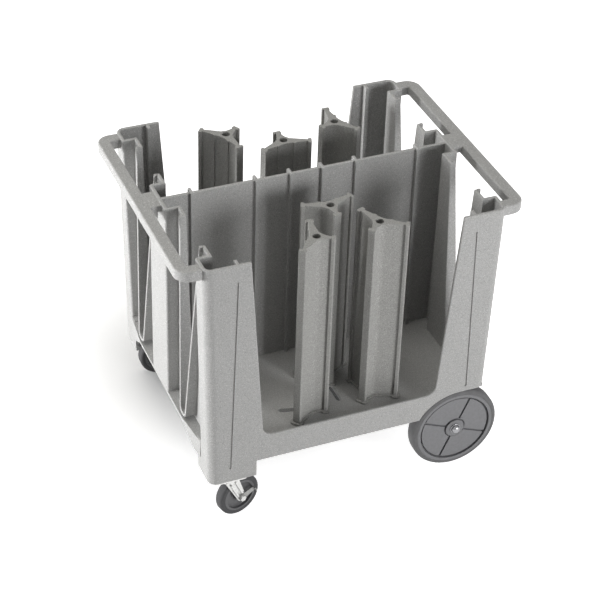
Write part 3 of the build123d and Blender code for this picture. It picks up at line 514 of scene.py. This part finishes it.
def spread(tree, value, low, high, new_low, new_high):
    """Maps a value from one range to another and holds it there."""
    node = tree.nodes.new("ShaderNodeMapRange")
    node.inputs["From Min"].default_value = low
    node.inputs["From Max"].default_value = high
    node.inputs["To Min"].default_value = new_low
    node.inputs["To Max"].default_value = new_high
    tree.links.new(value, node.inputs["Value"])
    return node.outputs["Result"]


def combine(tree, operation, first, second):
    """One value from two by a plain operation."""
    node = tree.nodes.new("ShaderNodeMath")
    node.operation = operation
    tree.links.new(first, node.inputs[0])
    tree.links.new(second, node.inputs[1])
    return node.outputs[0]


def blend_colours(tree, share, first, second):
    """Mixes two colours, each a colour or a socket."""
    node = tree.nodes.new("ShaderNodeMix")
    node.data_type = "RGBA"
    tree.links.new(share, node.inputs[mix_share])
    for socket, colour in ((node.inputs[mix_first], first), (node.inputs[mix_second], second)):
        if isinstance(colour, bpy.types.NodeSocket):
            tree.links.new(colour, socket)
        else:
            socket.default_value = (*colour, 1)
    return node.outputs[mix_result]


def raise_surface(tree, shader, heights):
    """Chains bumps, each a height socket with its strength and its depth in metres."""
    below = None
    for height, strength, depth in heights:
        node = tree.nodes.new("ShaderNodeBump")
        node.inputs["Strength"].default_value = strength
        node.inputs["Distance"].default_value = depth
        tree.links.new(height, node.inputs["Height"])
        if below is not None:
            tree.links.new(below, node.inputs["Normal"])
        below = node.outputs["Normal"]
    tree.links.new(below, shader.inputs["Normal"])


def shade(colour, factor):
    """A colour made lighter or darker."""
    return tuple(min(1.0, part * factor) for part in colour)


def layer_colours(tree, shader, colour, ground, layers):
    """Lays shades of a colour over its ground shade, each where its pattern grows from start to end.

    A layer is a pattern, its start and end, its largest share and the lightness of its shade.
    """
    surface = shade(colour, ground)
    for pattern, start, end, share, lightness in layers:
        growth = spread(tree, pattern, start, end, 0, share)
        surface = blend_colours(tree, growth, surface, shade(colour, lightness))
    tree.links.new(surface, shader.inputs["Base Color"])


def vary_roughness(tree, shader, pattern, low, high):
    """Lets the roughness follow a pattern between two values."""
    roughness = spread(tree, pattern, pattern_low, pattern_high, low, high)
    tree.links.new(roughness, shader.inputs["Roughness"])


def speckled_plastic(name, colour, grain):
    """Moulded polyethylene: soft patches, fine dark and light specks, a pebbled satin skin."""
    material, tree, shader, coordinates = new_finish(name)
    cloud = noise(tree, coordinates, grain.cloud, detail=3.0)
    mottle = noise(tree, coordinates, grain.mottle, detail=3.0, roughness=0.6)
    dark_specks = noise(tree, coordinates, grain.speck, detail=1.5)
    light_specks = noise(tree, coordinates, grain.speck * 1.3, detail=1.0)
    pebbles = noise(tree, coordinates, grain.pebble)
    layer_colours(tree, shader, colour, 0.965, (
        (cloud, pattern_low, pattern_high, 1.0, 1.03),
        (mottle, 0.35, 0.65, 0.75, 0.85),
        (dark_specks, 0.56, 0.68, 0.85, 0.56),
        (light_specks, 0.57, 0.69, 0.8, 1.45),
    ))
    vary_roughness(tree, shader, mottle, 0.50, 0.64)
    shader.inputs["Specular IOR Level"].default_value = 0.38
    raise_surface(tree, shader, ((cloud, 0.25, 0.004), (pebbles, 0.22, 0.0004), (dark_specks, 0.12, 0.0002)))
    return material


def satin_plastic(name, colour, grain, roughness):
    """Plain moulded plastic with faint patches and scuffs."""
    material, tree, shader, coordinates = new_finish(name)
    mottle = noise(tree, coordinates, grain.mottle * 1.5, detail=4.0, roughness=0.6)
    scuffs = noise(tree, coordinates, grain.speck)
    layer_colours(tree, shader, colour, 0.90, (
        (mottle, pattern_low, pattern_high, 1.0, 1.09),
        (scuffs, 0.62, 0.72, 0.35, 1.5),
    ))
    vary_roughness(tree, shader, mottle, roughness - 0.06, roughness + 0.08)
    raise_surface(tree, shader, ((mottle, 0.12, 0.0008), (scuffs, 0.15, 0.0002)))
    return material


def tread_rubber(name, colour, grain):
    """Matt rubber with dusty patches and a fine tooth."""
    material, tree, shader, coordinates = new_finish(name)
    dust = noise(tree, coordinates, grain.mottle * 4, detail=5.0, roughness=0.65)
    tooth = noise(tree, coordinates, grain.speck * 0.8)
    layer_colours(tree, shader, colour, 0.88, (
        (dust, 0.35, 0.7, 0.8, 1.25),
        (tooth, 0.6, 0.75, 0.4, 1.6),
    ))
    vary_roughness(tree, shader, dust, 0.66, 0.84)
    shader.inputs["Specular IOR Level"].default_value = 0.32
    raise_surface(tree, shader, ((dust, 0.1, 0.001), (tooth, 0.3, 0.0003)))
    return material


def plated_steel(name, colour, grain, roughness):
    """Zinc-plated steel: faint crystals, smears and small pits."""
    material, tree, shader, coordinates = new_finish(name)
    cells = tree.nodes.new("ShaderNodeTexVoronoi")
    cells.inputs["Scale"].default_value = 1 / grain.spangle
    tree.links.new(coordinates, cells.inputs["Vector"])
    crystal = cells.outputs["Distance"]
    smear = noise(tree, coordinates, grain.mottle * 2, detail=4.0, roughness=0.6)
    pits = noise(tree, coordinates, grain.speck * 0.6)
    layer_colours(tree, shader, colour, 1.05, (
        (crystal, 0.1, 0.8, 1.0, 0.88),
        (smear, 0.45, 0.75, 0.5, 0.72),
    ))
    shader.inputs["Metallic"].default_value = 1.0
    vary_roughness(tree, shader, smear, roughness - 0.07, roughness + 0.12)
    raise_surface(tree, shader, ((smear, 0.08, 0.0008), (pits, 0.18, 0.00015)))
    return material


# Operators, one for each piece or group of like pieces

class PLATECART_OT_body(Operator):
    """Gives the moulded body its speckled plastic"""
    bl_idname = "platecart.body"
    bl_label = "Body"

    def execute(self, context):
        scene = context.scene
        plastic = speckled_plastic("speckled_body", scene.platecart_colours.body, scene.platecart_grain)
        dress_node("cart_body", plastic)
        return {"FINISHED"}


class PLATECART_OT_towers(Operator):
    """Models the six towers with rounded edges"""
    bl_idname = "platecart.towers"
    bl_label = "Towers"

    def execute(self, context):
        scene = context.scene
        plastic = speckled_plastic("speckled_tower", scene.platecart_colours.tower, scene.platecart_grain)
        for place in tower_places:
            node = f"tower_{place}"
            tower = copy_of_node(node, f"rounded_tower_{place}")
            self.mark_creases(tower, joint_of(f"tower_turn_{place}")["pos_m"], scene.platecart_edges)
            round_edges(tower, scene.platecart_edges.tower)
            place_piece(tower, node, "tower_plastic", plastic, node)
        return {"FINISHED"}

    def mark_creases(self, tower, axis_place, edges):
        """Marks the long upright edges close to a tower's axis, so that its faces meet in crisp lines."""
        pick(tower)
        edit_all()
        bpy.ops.mesh.select_mode(type="EDGE")
        bpy.ops.mesh.select_all(action="DESELECT")
        end_edit()
        for edge in tower.data.edges:
            first, second = (tower.data.vertices[index].co for index in edge.vertices)
            along = (first.x + second.x) / 2 - axis_place[0]
            across = (first.y + second.y) / 2 - axis_place[1]
            near = math.hypot(along, across) < edges.crease_reach
            edge.select = near and abs(first.z - second.z) > edges.crease_length
        bpy.ops.object.mode_set(mode="EDIT")
        bpy.ops.mesh.mark_sharp()
        bpy.ops.mesh.select_mode(type="VERT")
        end_edit()


class PLATECART_OT_tower_fixings(Operator):
    """Gives the rods, slide blocks and clamp knobs of the towers their finishes"""
    bl_idname = "platecart.tower_fixings"
    bl_label = "Tower fixings"

    def execute(self, context):
        scene = context.scene
        colours, grain = scene.platecart_colours, scene.platecart_grain
        dark_steel = plated_steel("blackened_rod", colours.knob, grain, roughness=0.42)
        nylon = satin_plastic("nylon_block", colours.nylon, grain, roughness=0.5)
        black = satin_plastic("black_knob", colours.knob, grain, roughness=0.46)
        for place in tower_places:
            dress_node(f"tie_rod_{place}", dark_steel)
            dress_node(f"slide_block_{place}", nylon)
            dress_node(f"clamp_knob_{place}", black)
        return {"FINISHED"}


class PLATECART_OT_wheels(Operator):
    """Turns the tyres and the grooved discs of the two large wheels"""
    bl_idname = "platecart.wheels"
    bl_label = "Large wheels"

    def execute(self, context):
        scene = context.scene
        colours, grain, sizes = scene.platecart_colours, scene.platecart_grain, scene.platecart_wheels
        plastic = satin_plastic("satin_wheel", colours.wheel, grain, roughness=0.48)
        rubber = tread_rubber("grey_tread", colours.tyre, grain)
        for side, outwards in zip(sides, (-1, 1)):
            tyre = self.tyre(side, outwards, sizes)
            place_piece(tyre, f"wheel_{side}", "tyre_rubber", rubber, f"wheel_tyre_{side}")
            disc = self.disc(side, outwards, sizes, scene.platecart_edges.disc)
            place_piece(disc, f"wheel_{side}", "wheel_plastic", plastic, f"wheel_disc_{side}")
        return {"FINISHED"}

    def tyre(self, side, outwards, sizes):
        """A tyre with round shoulders and a small lip at the rim."""
        low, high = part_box(f"wheel_tyre_{side}")
        center = (low + high) / 2
        radius = (high.x - low.x) / 2
        half = (high.y - low.y) / 2
        shoulder = sizes.tyre_shoulder
        lip = sizes.tyre_lip
        seat = sizes.rim_radius + tyre_fit
        outline = [(seat, half - lip)]
        outline += arc((seat + lip, half - lip), lip, 180, 90, lip_steps)[1:]
        outline += arc((radius - shoulder, half - shoulder), shoulder, 90, 0, shoulder_steps)
        outline += arc((radius - shoulder, shoulder - half), shoulder, 0, -90, shoulder_steps)
        outline += arc((seat + lip, lip - half), lip, -90, -180, lip_steps)
        outline.append(outline[0])
        tyre = turned_piece(f"turned_tyre_{side}", outline, center, (0, outwards, 0), sizes.steps)
        smooth_faces(tyre, sharp_angle)
        return tyre

    def disc(self, side, outwards, sizes, edge):
        """A disc with a ring, grooves and a hub."""
        low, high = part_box(f"wheel_disc_{side}")
        tyre_low, tyre_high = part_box(f"wheel_tyre_{side}")
        center = (tyre_low + tyre_high) / 2
        half = (tyre_high.y - tyre_low.y) / 2
        hub_back = half - (high.y - low.y)
        ring = sizes.rim_radius - sizes.ring_width
        groove = ring - sizes.groove_width
        face = half - sizes.disc_setback
        back = face - sizes.disc_thickness
        hub_groove = sizes.hub_radius + sizes.hub_groove_width
        outline = [
            (sizes.bore_radius, hub_back),
            (sizes.hub_radius, hub_back),
            (sizes.hub_radius, back),
            (ring, back),
            (ring, -half),
            (sizes.rim_radius, -half),
            (sizes.rim_radius, half),
            (ring, half),
            (ring, face - sizes.groove_depth),
            (groove, face - sizes.groove_depth),
            (groove, face),
            (hub_groove, face),
            (hub_groove, face - sizes.hub_groove_depth),
            (sizes.hub_radius, face - sizes.hub_groove_depth),
            (sizes.hub_radius, half),
            (sizes.bore_radius, half),
            (sizes.bore_radius, hub_back),
        ]
        disc = turned_piece(f"turned_disc_{side}", outline, center, (0, outwards, 0), sizes.steps)
        cut_with(disc, self.groove_blocks(center, outwards, face, hub_groove, groove, sizes))
        round_edges(disc, edge)
        return disc

    def groove_blocks(self, center, outwards, face, inner, outer, sizes):
        """The blocks that cut the radial grooves."""
        blocks = []
        middle = (inner + outer) / 2
        length = outer - inner + cutter_overlap
        depth = sizes.spoke_depth + cutter_overlap
        along = face + cutter_overlap - depth / 2
        for count in range(sizes.spoke_grooves):
            turn = sizes.spoke_turn + 2 * math.pi * count / sizes.spoke_grooves
            place = center + Vector((middle * math.cos(turn), outwards * along, middle * math.sin(turn)))
            blocks.append(add_block(place, (0, -turn, 0), (length, depth, sizes.spoke_width)))
        return blocks


class PLATECART_OT_axle(Operator):
    """Turns the bright axle caps and finishes the axle, washers and bushes"""
    bl_idname = "platecart.axle"
    bl_label = "Axle and caps"

    def execute(self, context):
        scene = context.scene
        colours, grain, sizes = scene.platecart_colours, scene.platecart_grain, scene.platecart_wheels
        # Painted reflection: the dark cap colour stands in for dark surroundings in the caps' reflections
        chrome = plated_steel("polished_cap", colours.chrome, grain, roughness=0.14)
        zinc = plated_steel("plated_axle", colours.zinc, grain, roughness=0.34)
        nylon = satin_plastic("nylon_bush", colours.nylon, grain, roughness=0.5)
        dress_node("rear_axle", zinc)
        dress_node("axle_washers", zinc)
        for side in sides:
            dress_node(f"wheel_bush_{side}", nylon)
        caps = self.caps(sizes)
        place_piece(caps, "cart", "bright_cap", chrome, "axle_caps")
        return {"FINISHED"}

    def caps(self, sizes):
        """Both caps as one piece: a flange and a dome, closed round the axle's end."""
        low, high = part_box("axle_caps")
        radius = (high.x - low.x) / 2
        middle = (low + high) / 2
        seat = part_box("wheel_bush_back")[1].y + sizes.cap_gap
        outline = self.cap_outline(radius, high.y - seat, sizes)
        halves = []
        for outwards in (-1, 1):
            center = Vector((middle.x, outwards * seat, middle.z))
            halves.append(turned_piece("turned_caps", outline, center, (0, outwards, 0), sizes.steps // 2))
        pick(halves[0])
        halves[1].select_set(True)
        bpy.ops.object.join()
        name_piece(halves[0], "turned_caps")
        smooth_faces(halves[0], cap_sharp_angle)
        return halves[0]

    def cap_outline(self, radius, length, sizes):
        """Half section of a cap: a flange with broken edges and a full dome on it."""
        flange, edge = sizes.cap_flange, sizes.cap_edge
        dome = radius - sizes.cap_step
        crown = length - flange
        outline = [
            (0.0, 0.0),
            (radius - edge, 0.0),
            (radius, edge),
            (radius, flange - edge),
            (radius - edge, flange),
            (dome + sizes.cap_root, flange),
        ]
        for step in range(dome_steps):
            turn = math.radians(90 * step / dome_steps)
            outline.append((dome * math.cos(turn) ** sizes.cap_fullness, flange + crown * math.sin(turn)))
        outline.append((0.0, flange + crown))
        return outline


class PLATECART_OT_caster_mounts(Operator):
    """Rounds the caster plates, their bolts and the kingpins"""
    bl_idname = "platecart.caster_mounts"
    bl_label = "Caster mounts"

    def execute(self, context):
        scene = context.scene
        colours, grain, edges = scene.platecart_colours, scene.platecart_grain, scene.platecart_edges
        zinc = plated_steel("plated_plate", colours.zinc, grain, roughness=0.38)
        steel = plated_steel("plated_bolt", shade(colours.zinc, 0.9), grain, roughness=0.32)
        for side in sides:
            for part, slot, material, edge in (
                ("caster_plate", "zinc_steel", zinc, edges.metal),
                ("caster_bolts", "fastener_steel", steel, edges.fastener),
                ("caster_kingpin", "fastener_steel", steel, edges.fastener),
            ):
                piece = rounded_copy(f"{part}_{side}", f"rounded_{part}_{side}", edge)
                place_piece(piece, "cart", slot, material, f"{part}_{side}")
        return {"FINISHED"}


class PLATECART_OT_caster_forks(Operator):
    """Rounds the swivel forks, their axle bolts and the brake lever"""
    bl_idname = "platecart.caster_forks"
    bl_label = "Caster forks and brake"

    def execute(self, context):
        scene = context.scene
        colours, grain, edges = scene.platecart_colours, scene.platecart_grain, scene.platecart_edges
        zinc = plated_steel("plated_fork", colours.zinc, grain, roughness=0.36)
        steel = plated_steel("plated_axle_bolt", shade(colours.zinc, 0.95), grain, roughness=0.28)
        for side in sides:
            fork = rounded_copy(f"caster_fork_{side}", f"rounded_caster_fork_{side}", edges.metal)
            self.press_ribs(fork, side, scene.platecart_casters, edges.metal)
            place_piece(fork, f"caster_swivel_{side}", "zinc_steel", zinc, f"caster_fork_{side}")
            bolt = rounded_copy(f"caster_axle_{side}", f"rounded_caster_axle_{side}", edges.fastener)
            place_piece(bolt, f"caster_swivel_{side}", "fastener_steel", steel, f"caster_axle_{side}")
        # Painted shade: the lever's zinc is a copy of the plating at half its colour, darker than the fork's,
        # and also rougher
        dull_zinc_with_painted_shade = plated_steel("plated_lever", shade(colours.zinc, 0.5), grain, roughness=0.46)
        lever = rounded_copy("brake_lever_front", "rounded_brake_lever", edges.metal)
        place_piece(lever, "brake_lever", "zinc_steel", dull_zinc_with_painted_shade, "brake_lever_front")
        return {"FINISHED"}

    def press_ribs(self, fork, side, sizes, edge):
        """Adds two ribs to the outside of each leg, from below the crown to above the axle."""
        swivel, spin = joint_of(f"caster_swivel_{side}"), joint_of(f"caster_spin_{side}")
        axle, axis = Vector(spin["pos_m"]), Vector(spin["axis"]).normalized()
        crown = Vector((*swivel["pos_m"][:2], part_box(f"caster_fork_{side}")[1].z - sizes.rib_top))
        leg = axle - crown
        foot = axle - leg.normalized() * sizes.rib_foot
        across = axis.cross(leg).normalized()
        face = self.leg_face(side, axle, axis)
        turn = Matrix((leg.normalized(), axis, across)).transposed().to_euler()
        size = ((foot - crown).length, 2 * sizes.rib_height, sizes.rib_width)
        ribs = [fork]
        for outwards in (-1, 1):
            for beside in (-1, 1):
                middle = (crown + foot) / 2 + axis * outwards * face + across * beside * sizes.rib_spread
                rib = add_block(middle, turn, size)
                bpy.ops.object.transform_apply(location=True, rotation=True, scale=True)
                round_edges(rib, edge)
                ribs.append(rib)
        pick(fork)
        for rib in ribs:
            rib.select_set(True)
        bpy.ops.object.join()

    def leg_face(self, side, axle, axis):
        """How far the outside of the fork's legs lies from the wheel's middle plane."""
        points = frame["nodes"][f"caster_fork_{side}"].data.vertices
        return max(abs((point.co - axle).dot(axis)) for point in points)


class PLATECART_OT_caster_wheels(Operator):
    """Turns the tyres and cores of the caster wheels"""
    bl_idname = "platecart.caster_wheels"
    bl_label = "Caster wheels"

    def execute(self, context):
        scene = context.scene
        colours, grain, sizes = scene.platecart_colours, scene.platecart_grain, scene.platecart_casters
        plastic = satin_plastic("dark_core", colours.caster_core, grain, roughness=0.5)
        rubber = tread_rubber("dark_tread", colours.caster_tyre, grain)
        steps = scene.platecart_wheels.steps
        for side in sides:
            spin = joint_of(f"caster_spin_{side}")
            center, axis = spin["pos_m"], spin["axis"]
            tyre_low, tyre_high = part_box(f"caster_tyre_{side}")
            radius = (tyre_high.z - tyre_low.z) / 2
            half = self.half_width(side, axis, radius)
            tyre = turned_piece(
                f"turned_caster_tyre_{side}", self.tyre_outline(radius, half, sizes), center, axis, steps)
            smooth_faces(tyre, sharp_angle)
            place_piece(tyre, f"caster_wheel_{side}", "caster_tyre_rubber", rubber, f"caster_tyre_{side}")
            core = turned_piece(
                f"turned_caster_core_{side}", self.core_outline(half, sizes), center, axis, steps)
            round_edges(core, scene.platecart_edges.disc)
            place_piece(
                core, f"caster_wheel_{side}", "caster_core_plastic", plastic, f"caster_wheel_core_{side}")
        return {"FINISHED"}

    def half_width(self, side, axis, radius):
        """Half the tyre's width, from its box and its heading."""
        low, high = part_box(f"caster_tyre_{side}")
        across, along = abs(axis[1]), abs(axis[0])
        return ((high.y - low.y) / 2 - radius * along) / across

    def tyre_outline(self, radius, half, sizes):
        """Half section of a tyre with round shoulders."""
        shoulder = sizes.tyre_shoulder
        seat = sizes.core_radius + tyre_fit
        outline = [(seat, half)]
        outline += arc((radius - shoulder, half - shoulder), shoulder, 90, 0, caster_shoulder_steps)
        outline += arc((radius - shoulder, shoulder - half), shoulder, 0, -90, caster_shoulder_steps)
        outline += [(seat, -half), (seat, half)]
        return outline

    def core_outline(self, half, sizes):
        """Half section of a dished core with a long hub."""
        dish = half - sizes.dish_depth
        rim = sizes.core_radius - sizes.rim_width
        upper = [
            (sizes.bore_radius, sizes.hub_half),
            (sizes.hub_radius, sizes.hub_half),
            (sizes.hub_radius, dish),
            (rim, dish),
            (rim, half),
            (sizes.core_radius, half),
        ]
        lower = [(radius, -along) for radius, along in reversed(upper)]
        return upper + lower + upper[:1]


class PLATECART_OT_stage(Operator):
    """Sets up the floor, the light and the camera"""
    bl_idname = "platecart.stage"
    bl_label = "Stage"

    def execute(self, context):
        settings = context.scene.platecart_stage
        context.scene.view_settings.view_transform = "Standard"
        self.floor(settings)
        self.world(context, settings)
        for side in ("left", "front", "top"):
            self.lamp(settings, side)
        self.camera(context, settings)
        return {"FINISHED"}

    def seen_directly(self, tree):
        """A value of 1 for rays from the camera and for those that metal and glass send on."""
        path = tree.nodes.new("ShaderNodeLightPath").outputs
        first = combine(tree, "MAXIMUM", path["Is Camera Ray"], path["Is Glossy Ray"])
        return combine(tree, "MAXIMUM", first, path["Is Transmission Ray"])

    def ramp(self, tree, center, near, far):
        """A value that grows softly from 0 to 1 between two distances from a point of the floor."""
        distance = tree.nodes.new("ShaderNodeVectorMath")
        distance.operation = "DISTANCE"
        tree.links.new(tree.nodes.new("ShaderNodeTexCoord").outputs["Object"], distance.inputs[0])
        distance.inputs[1].default_value = center
        growth = spread(tree, distance.outputs["Value"], near, far, 0, 1)
        growth.node.interpolation_type = "SMOOTHSTEP"
        return growth

    def openness(self, tree, settings):
        """A value of 0 where something covers the floor closely and of 1 in the open."""
        cover = tree.nodes.new("ShaderNodeAmbientOcclusion")
        cover.inputs["Distance"].default_value = settings.cover_reach
        return spread(tree, cover.outputs["AO"], settings.cover_full, settings.cover_none, 0, 1)

    def floor(self, settings):
        """A pale floor that shows white and keeps the cart's shadow."""
        bpy.ops.object.select_all(action="DESELECT")
        bpy.ops.mesh.primitive_plane_add(size=settings.floor_size)
        floor = bpy.context.object
        name_piece(floor, "pale_floor")
        floor.data.materials.append(self.floor_finish(settings))

    def floor_finish(self, settings):
        """A matt pale surface that glows white, with painted shade: its glow fades into a painted shadow round
        the cart, and its grey and glow are darkened below the floor slots.
        """
        material = bpy.data.materials.new("pale_floor")
        material.use_nodes = True
        tree = material.node_tree
        tree.nodes.remove(tree.nodes["Principled BSDF"])
        diffuse = tree.nodes.new("ShaderNodeBsdfDiffuse")
        pale = (settings.floor_grey,) * 3
        # Painted shade: the floor's grey and glow are darkened where the cart covers it near the slots
        beyond_slots = self.ramp(tree, settings.painted_shade_center, settings.painted_shade_near, settings.painted_shade_far)
        out_of_painted_shade = combine(tree, "MAXIMUM", self.openness(tree, settings), beyond_slots)
        # Painted shadow: the glow fades near the cart
        out_of_painted_shadow = self.ramp(tree, settings.painted_shadow_center, settings.painted_shadow_near, settings.painted_shadow_far)
        grey = blend_colours(tree, out_of_painted_shade, shade(pale, settings.painted_shade_share), pale)
        tree.links.new(grey, diffuse.inputs["Color"])
        glow = tree.nodes.new("ShaderNodeEmission")
        white = combine(tree, "MINIMUM", out_of_painted_shade, out_of_painted_shadow)
        tree.links.new(combine(tree, "MULTIPLY", white, self.seen_directly(tree)), glow.inputs["Strength"])
        both = tree.nodes.new("ShaderNodeAddShader")
        tree.links.new(diffuse.outputs[0], both.inputs[0])
        tree.links.new(glow.outputs[0], both.inputs[1])
        tree.links.new(both.outputs[0], tree.nodes["Material Output"].inputs["Surface"])
        return material

    def world(self, context, settings):
        """Even light from all round, white where it is seen."""
        world = bpy.data.worlds.new("studio")
        context.scene.world = world
        world.use_nodes = True
        tree = world.node_tree
        background = tree.nodes["Background"]
        background.inputs["Color"].default_value = (1, 1, 1, 1)
        strength = spread(tree, self.seen_directly(tree), 0, 1, settings.ambient, 1.0)
        tree.links.new(strength, background.inputs["Strength"])

    def lamp(self, settings, side):
        """A large soft lamp that points at the cart."""
        place = Vector(getattr(settings, f"{side}_place"))
        bpy.ops.object.select_all(action="DESELECT")
        bpy.ops.object.light_add(type="AREA", location=place)
        lamp = bpy.context.object
        lamp.name = f"{side}_lamp"
        lamp.data.size = getattr(settings, f"{side}_size")
        lamp.data.energy = getattr(settings, f"{side}_power")
        lamp.data.color = getattr(settings, f"{side}_colour")
        lamp.rotation_euler = (Vector(settings.lamp_target) - place).to_track_quat("-Z", "Y").to_euler()

    def camera(self, context, settings):
        """The camera at the photograph's viewing angle."""
        turn, tilt, roll = settings.camera_turn, settings.camera_tilt, settings.camera_roll
        back = Vector((math.sin(turn) * math.cos(tilt), -math.cos(turn) * math.cos(tilt), math.sin(tilt)))
        right = Vector((math.cos(turn), math.sin(turn), 0))
        up = back.cross(right)
        rolled_right = right * math.cos(roll) + up * math.sin(roll)
        rolled_up = up * math.cos(roll) - right * math.sin(roll)
        bpy.ops.object.select_all(action="DESELECT")
        bpy.ops.object.camera_add()
        camera = bpy.context.object
        axes = Matrix((rolled_right, rolled_up, back)).transposed()
        camera.matrix_world = Matrix.Translation(settings.camera_place) @ axes.to_4x4()
        camera.data.lens = settings.lens
        camera.data.sensor_width = settings.sensor
        camera.data.shift_x, camera.data.shift_y = settings.camera_shift
        context.scene.camera = camera


# Panel and registration

class PLATECART_PT_panel(Panel):
    """Lists the steps and settings of the plate cart."""
    bl_idname = "PLATECART_PT_panel"
    bl_label = "Plate Cart"
    bl_space_type = "VIEW_3D"
    bl_region_type = "UI"
    bl_category = "Plate Cart"

    def draw(self, context):
        for operator in operators:
            self.layout.operator(operator.bl_idname)
        for name, group in settings_groups:
            box = self.layout.box()
            settings = getattr(context.scene, name)
            for setting in group.__annotations__:
                box.prop(settings, setting)


settings_groups = (
    ("platecart_colours", PlateCartColours),
    ("platecart_grain", PlateCartGrain),
    ("platecart_wheels", PlateCartWheels),
    ("platecart_casters", PlateCartCasters),
    ("platecart_edges", PlateCartEdges),
    ("platecart_stage", PlateCartStage),
)
operators = (
    PLATECART_OT_body,
    PLATECART_OT_towers,
    PLATECART_OT_tower_fixings,
    PLATECART_OT_wheels,
    PLATECART_OT_axle,
    PLATECART_OT_caster_mounts,
    PLATECART_OT_caster_forks,
    PLATECART_OT_caster_wheels,
    PLATECART_OT_stage,
)


def register():
    """Registers the settings, the operators and the panel."""
    for name, group in settings_groups:
        bpy.utils.register_class(group)
        setattr(bpy.types.Scene, name, PointerProperty(type=group))
    for operator in operators:
        bpy.utils.register_class(operator)
    bpy.utils.register_class(PLATECART_PT_panel)


def unregister():
    """Removes the panel, the operators and the settings."""
    bpy.utils.unregister_class(PLATECART_PT_panel)
    for operator in reversed(operators):
        bpy.utils.unregister_class(operator)
    for name, group in reversed(settings_groups):
        delattr(bpy.types.Scene, name)
        bpy.utils.unregister_class(group)


def main():
    """Models and dresses the cart."""
    register()
    bpy.ops.platecart.body()
    bpy.ops.platecart.towers()
    bpy.ops.platecart.tower_fixings()
    bpy.ops.platecart.wheels()
    bpy.ops.platecart.axle()
    bpy.ops.platecart.caster_mounts()
    bpy.ops.platecart.caster_forks()
    bpy.ops.platecart.caster_wheels()
    bpy.ops.platecart.stage()


if __name__ == "__main__":
    main()
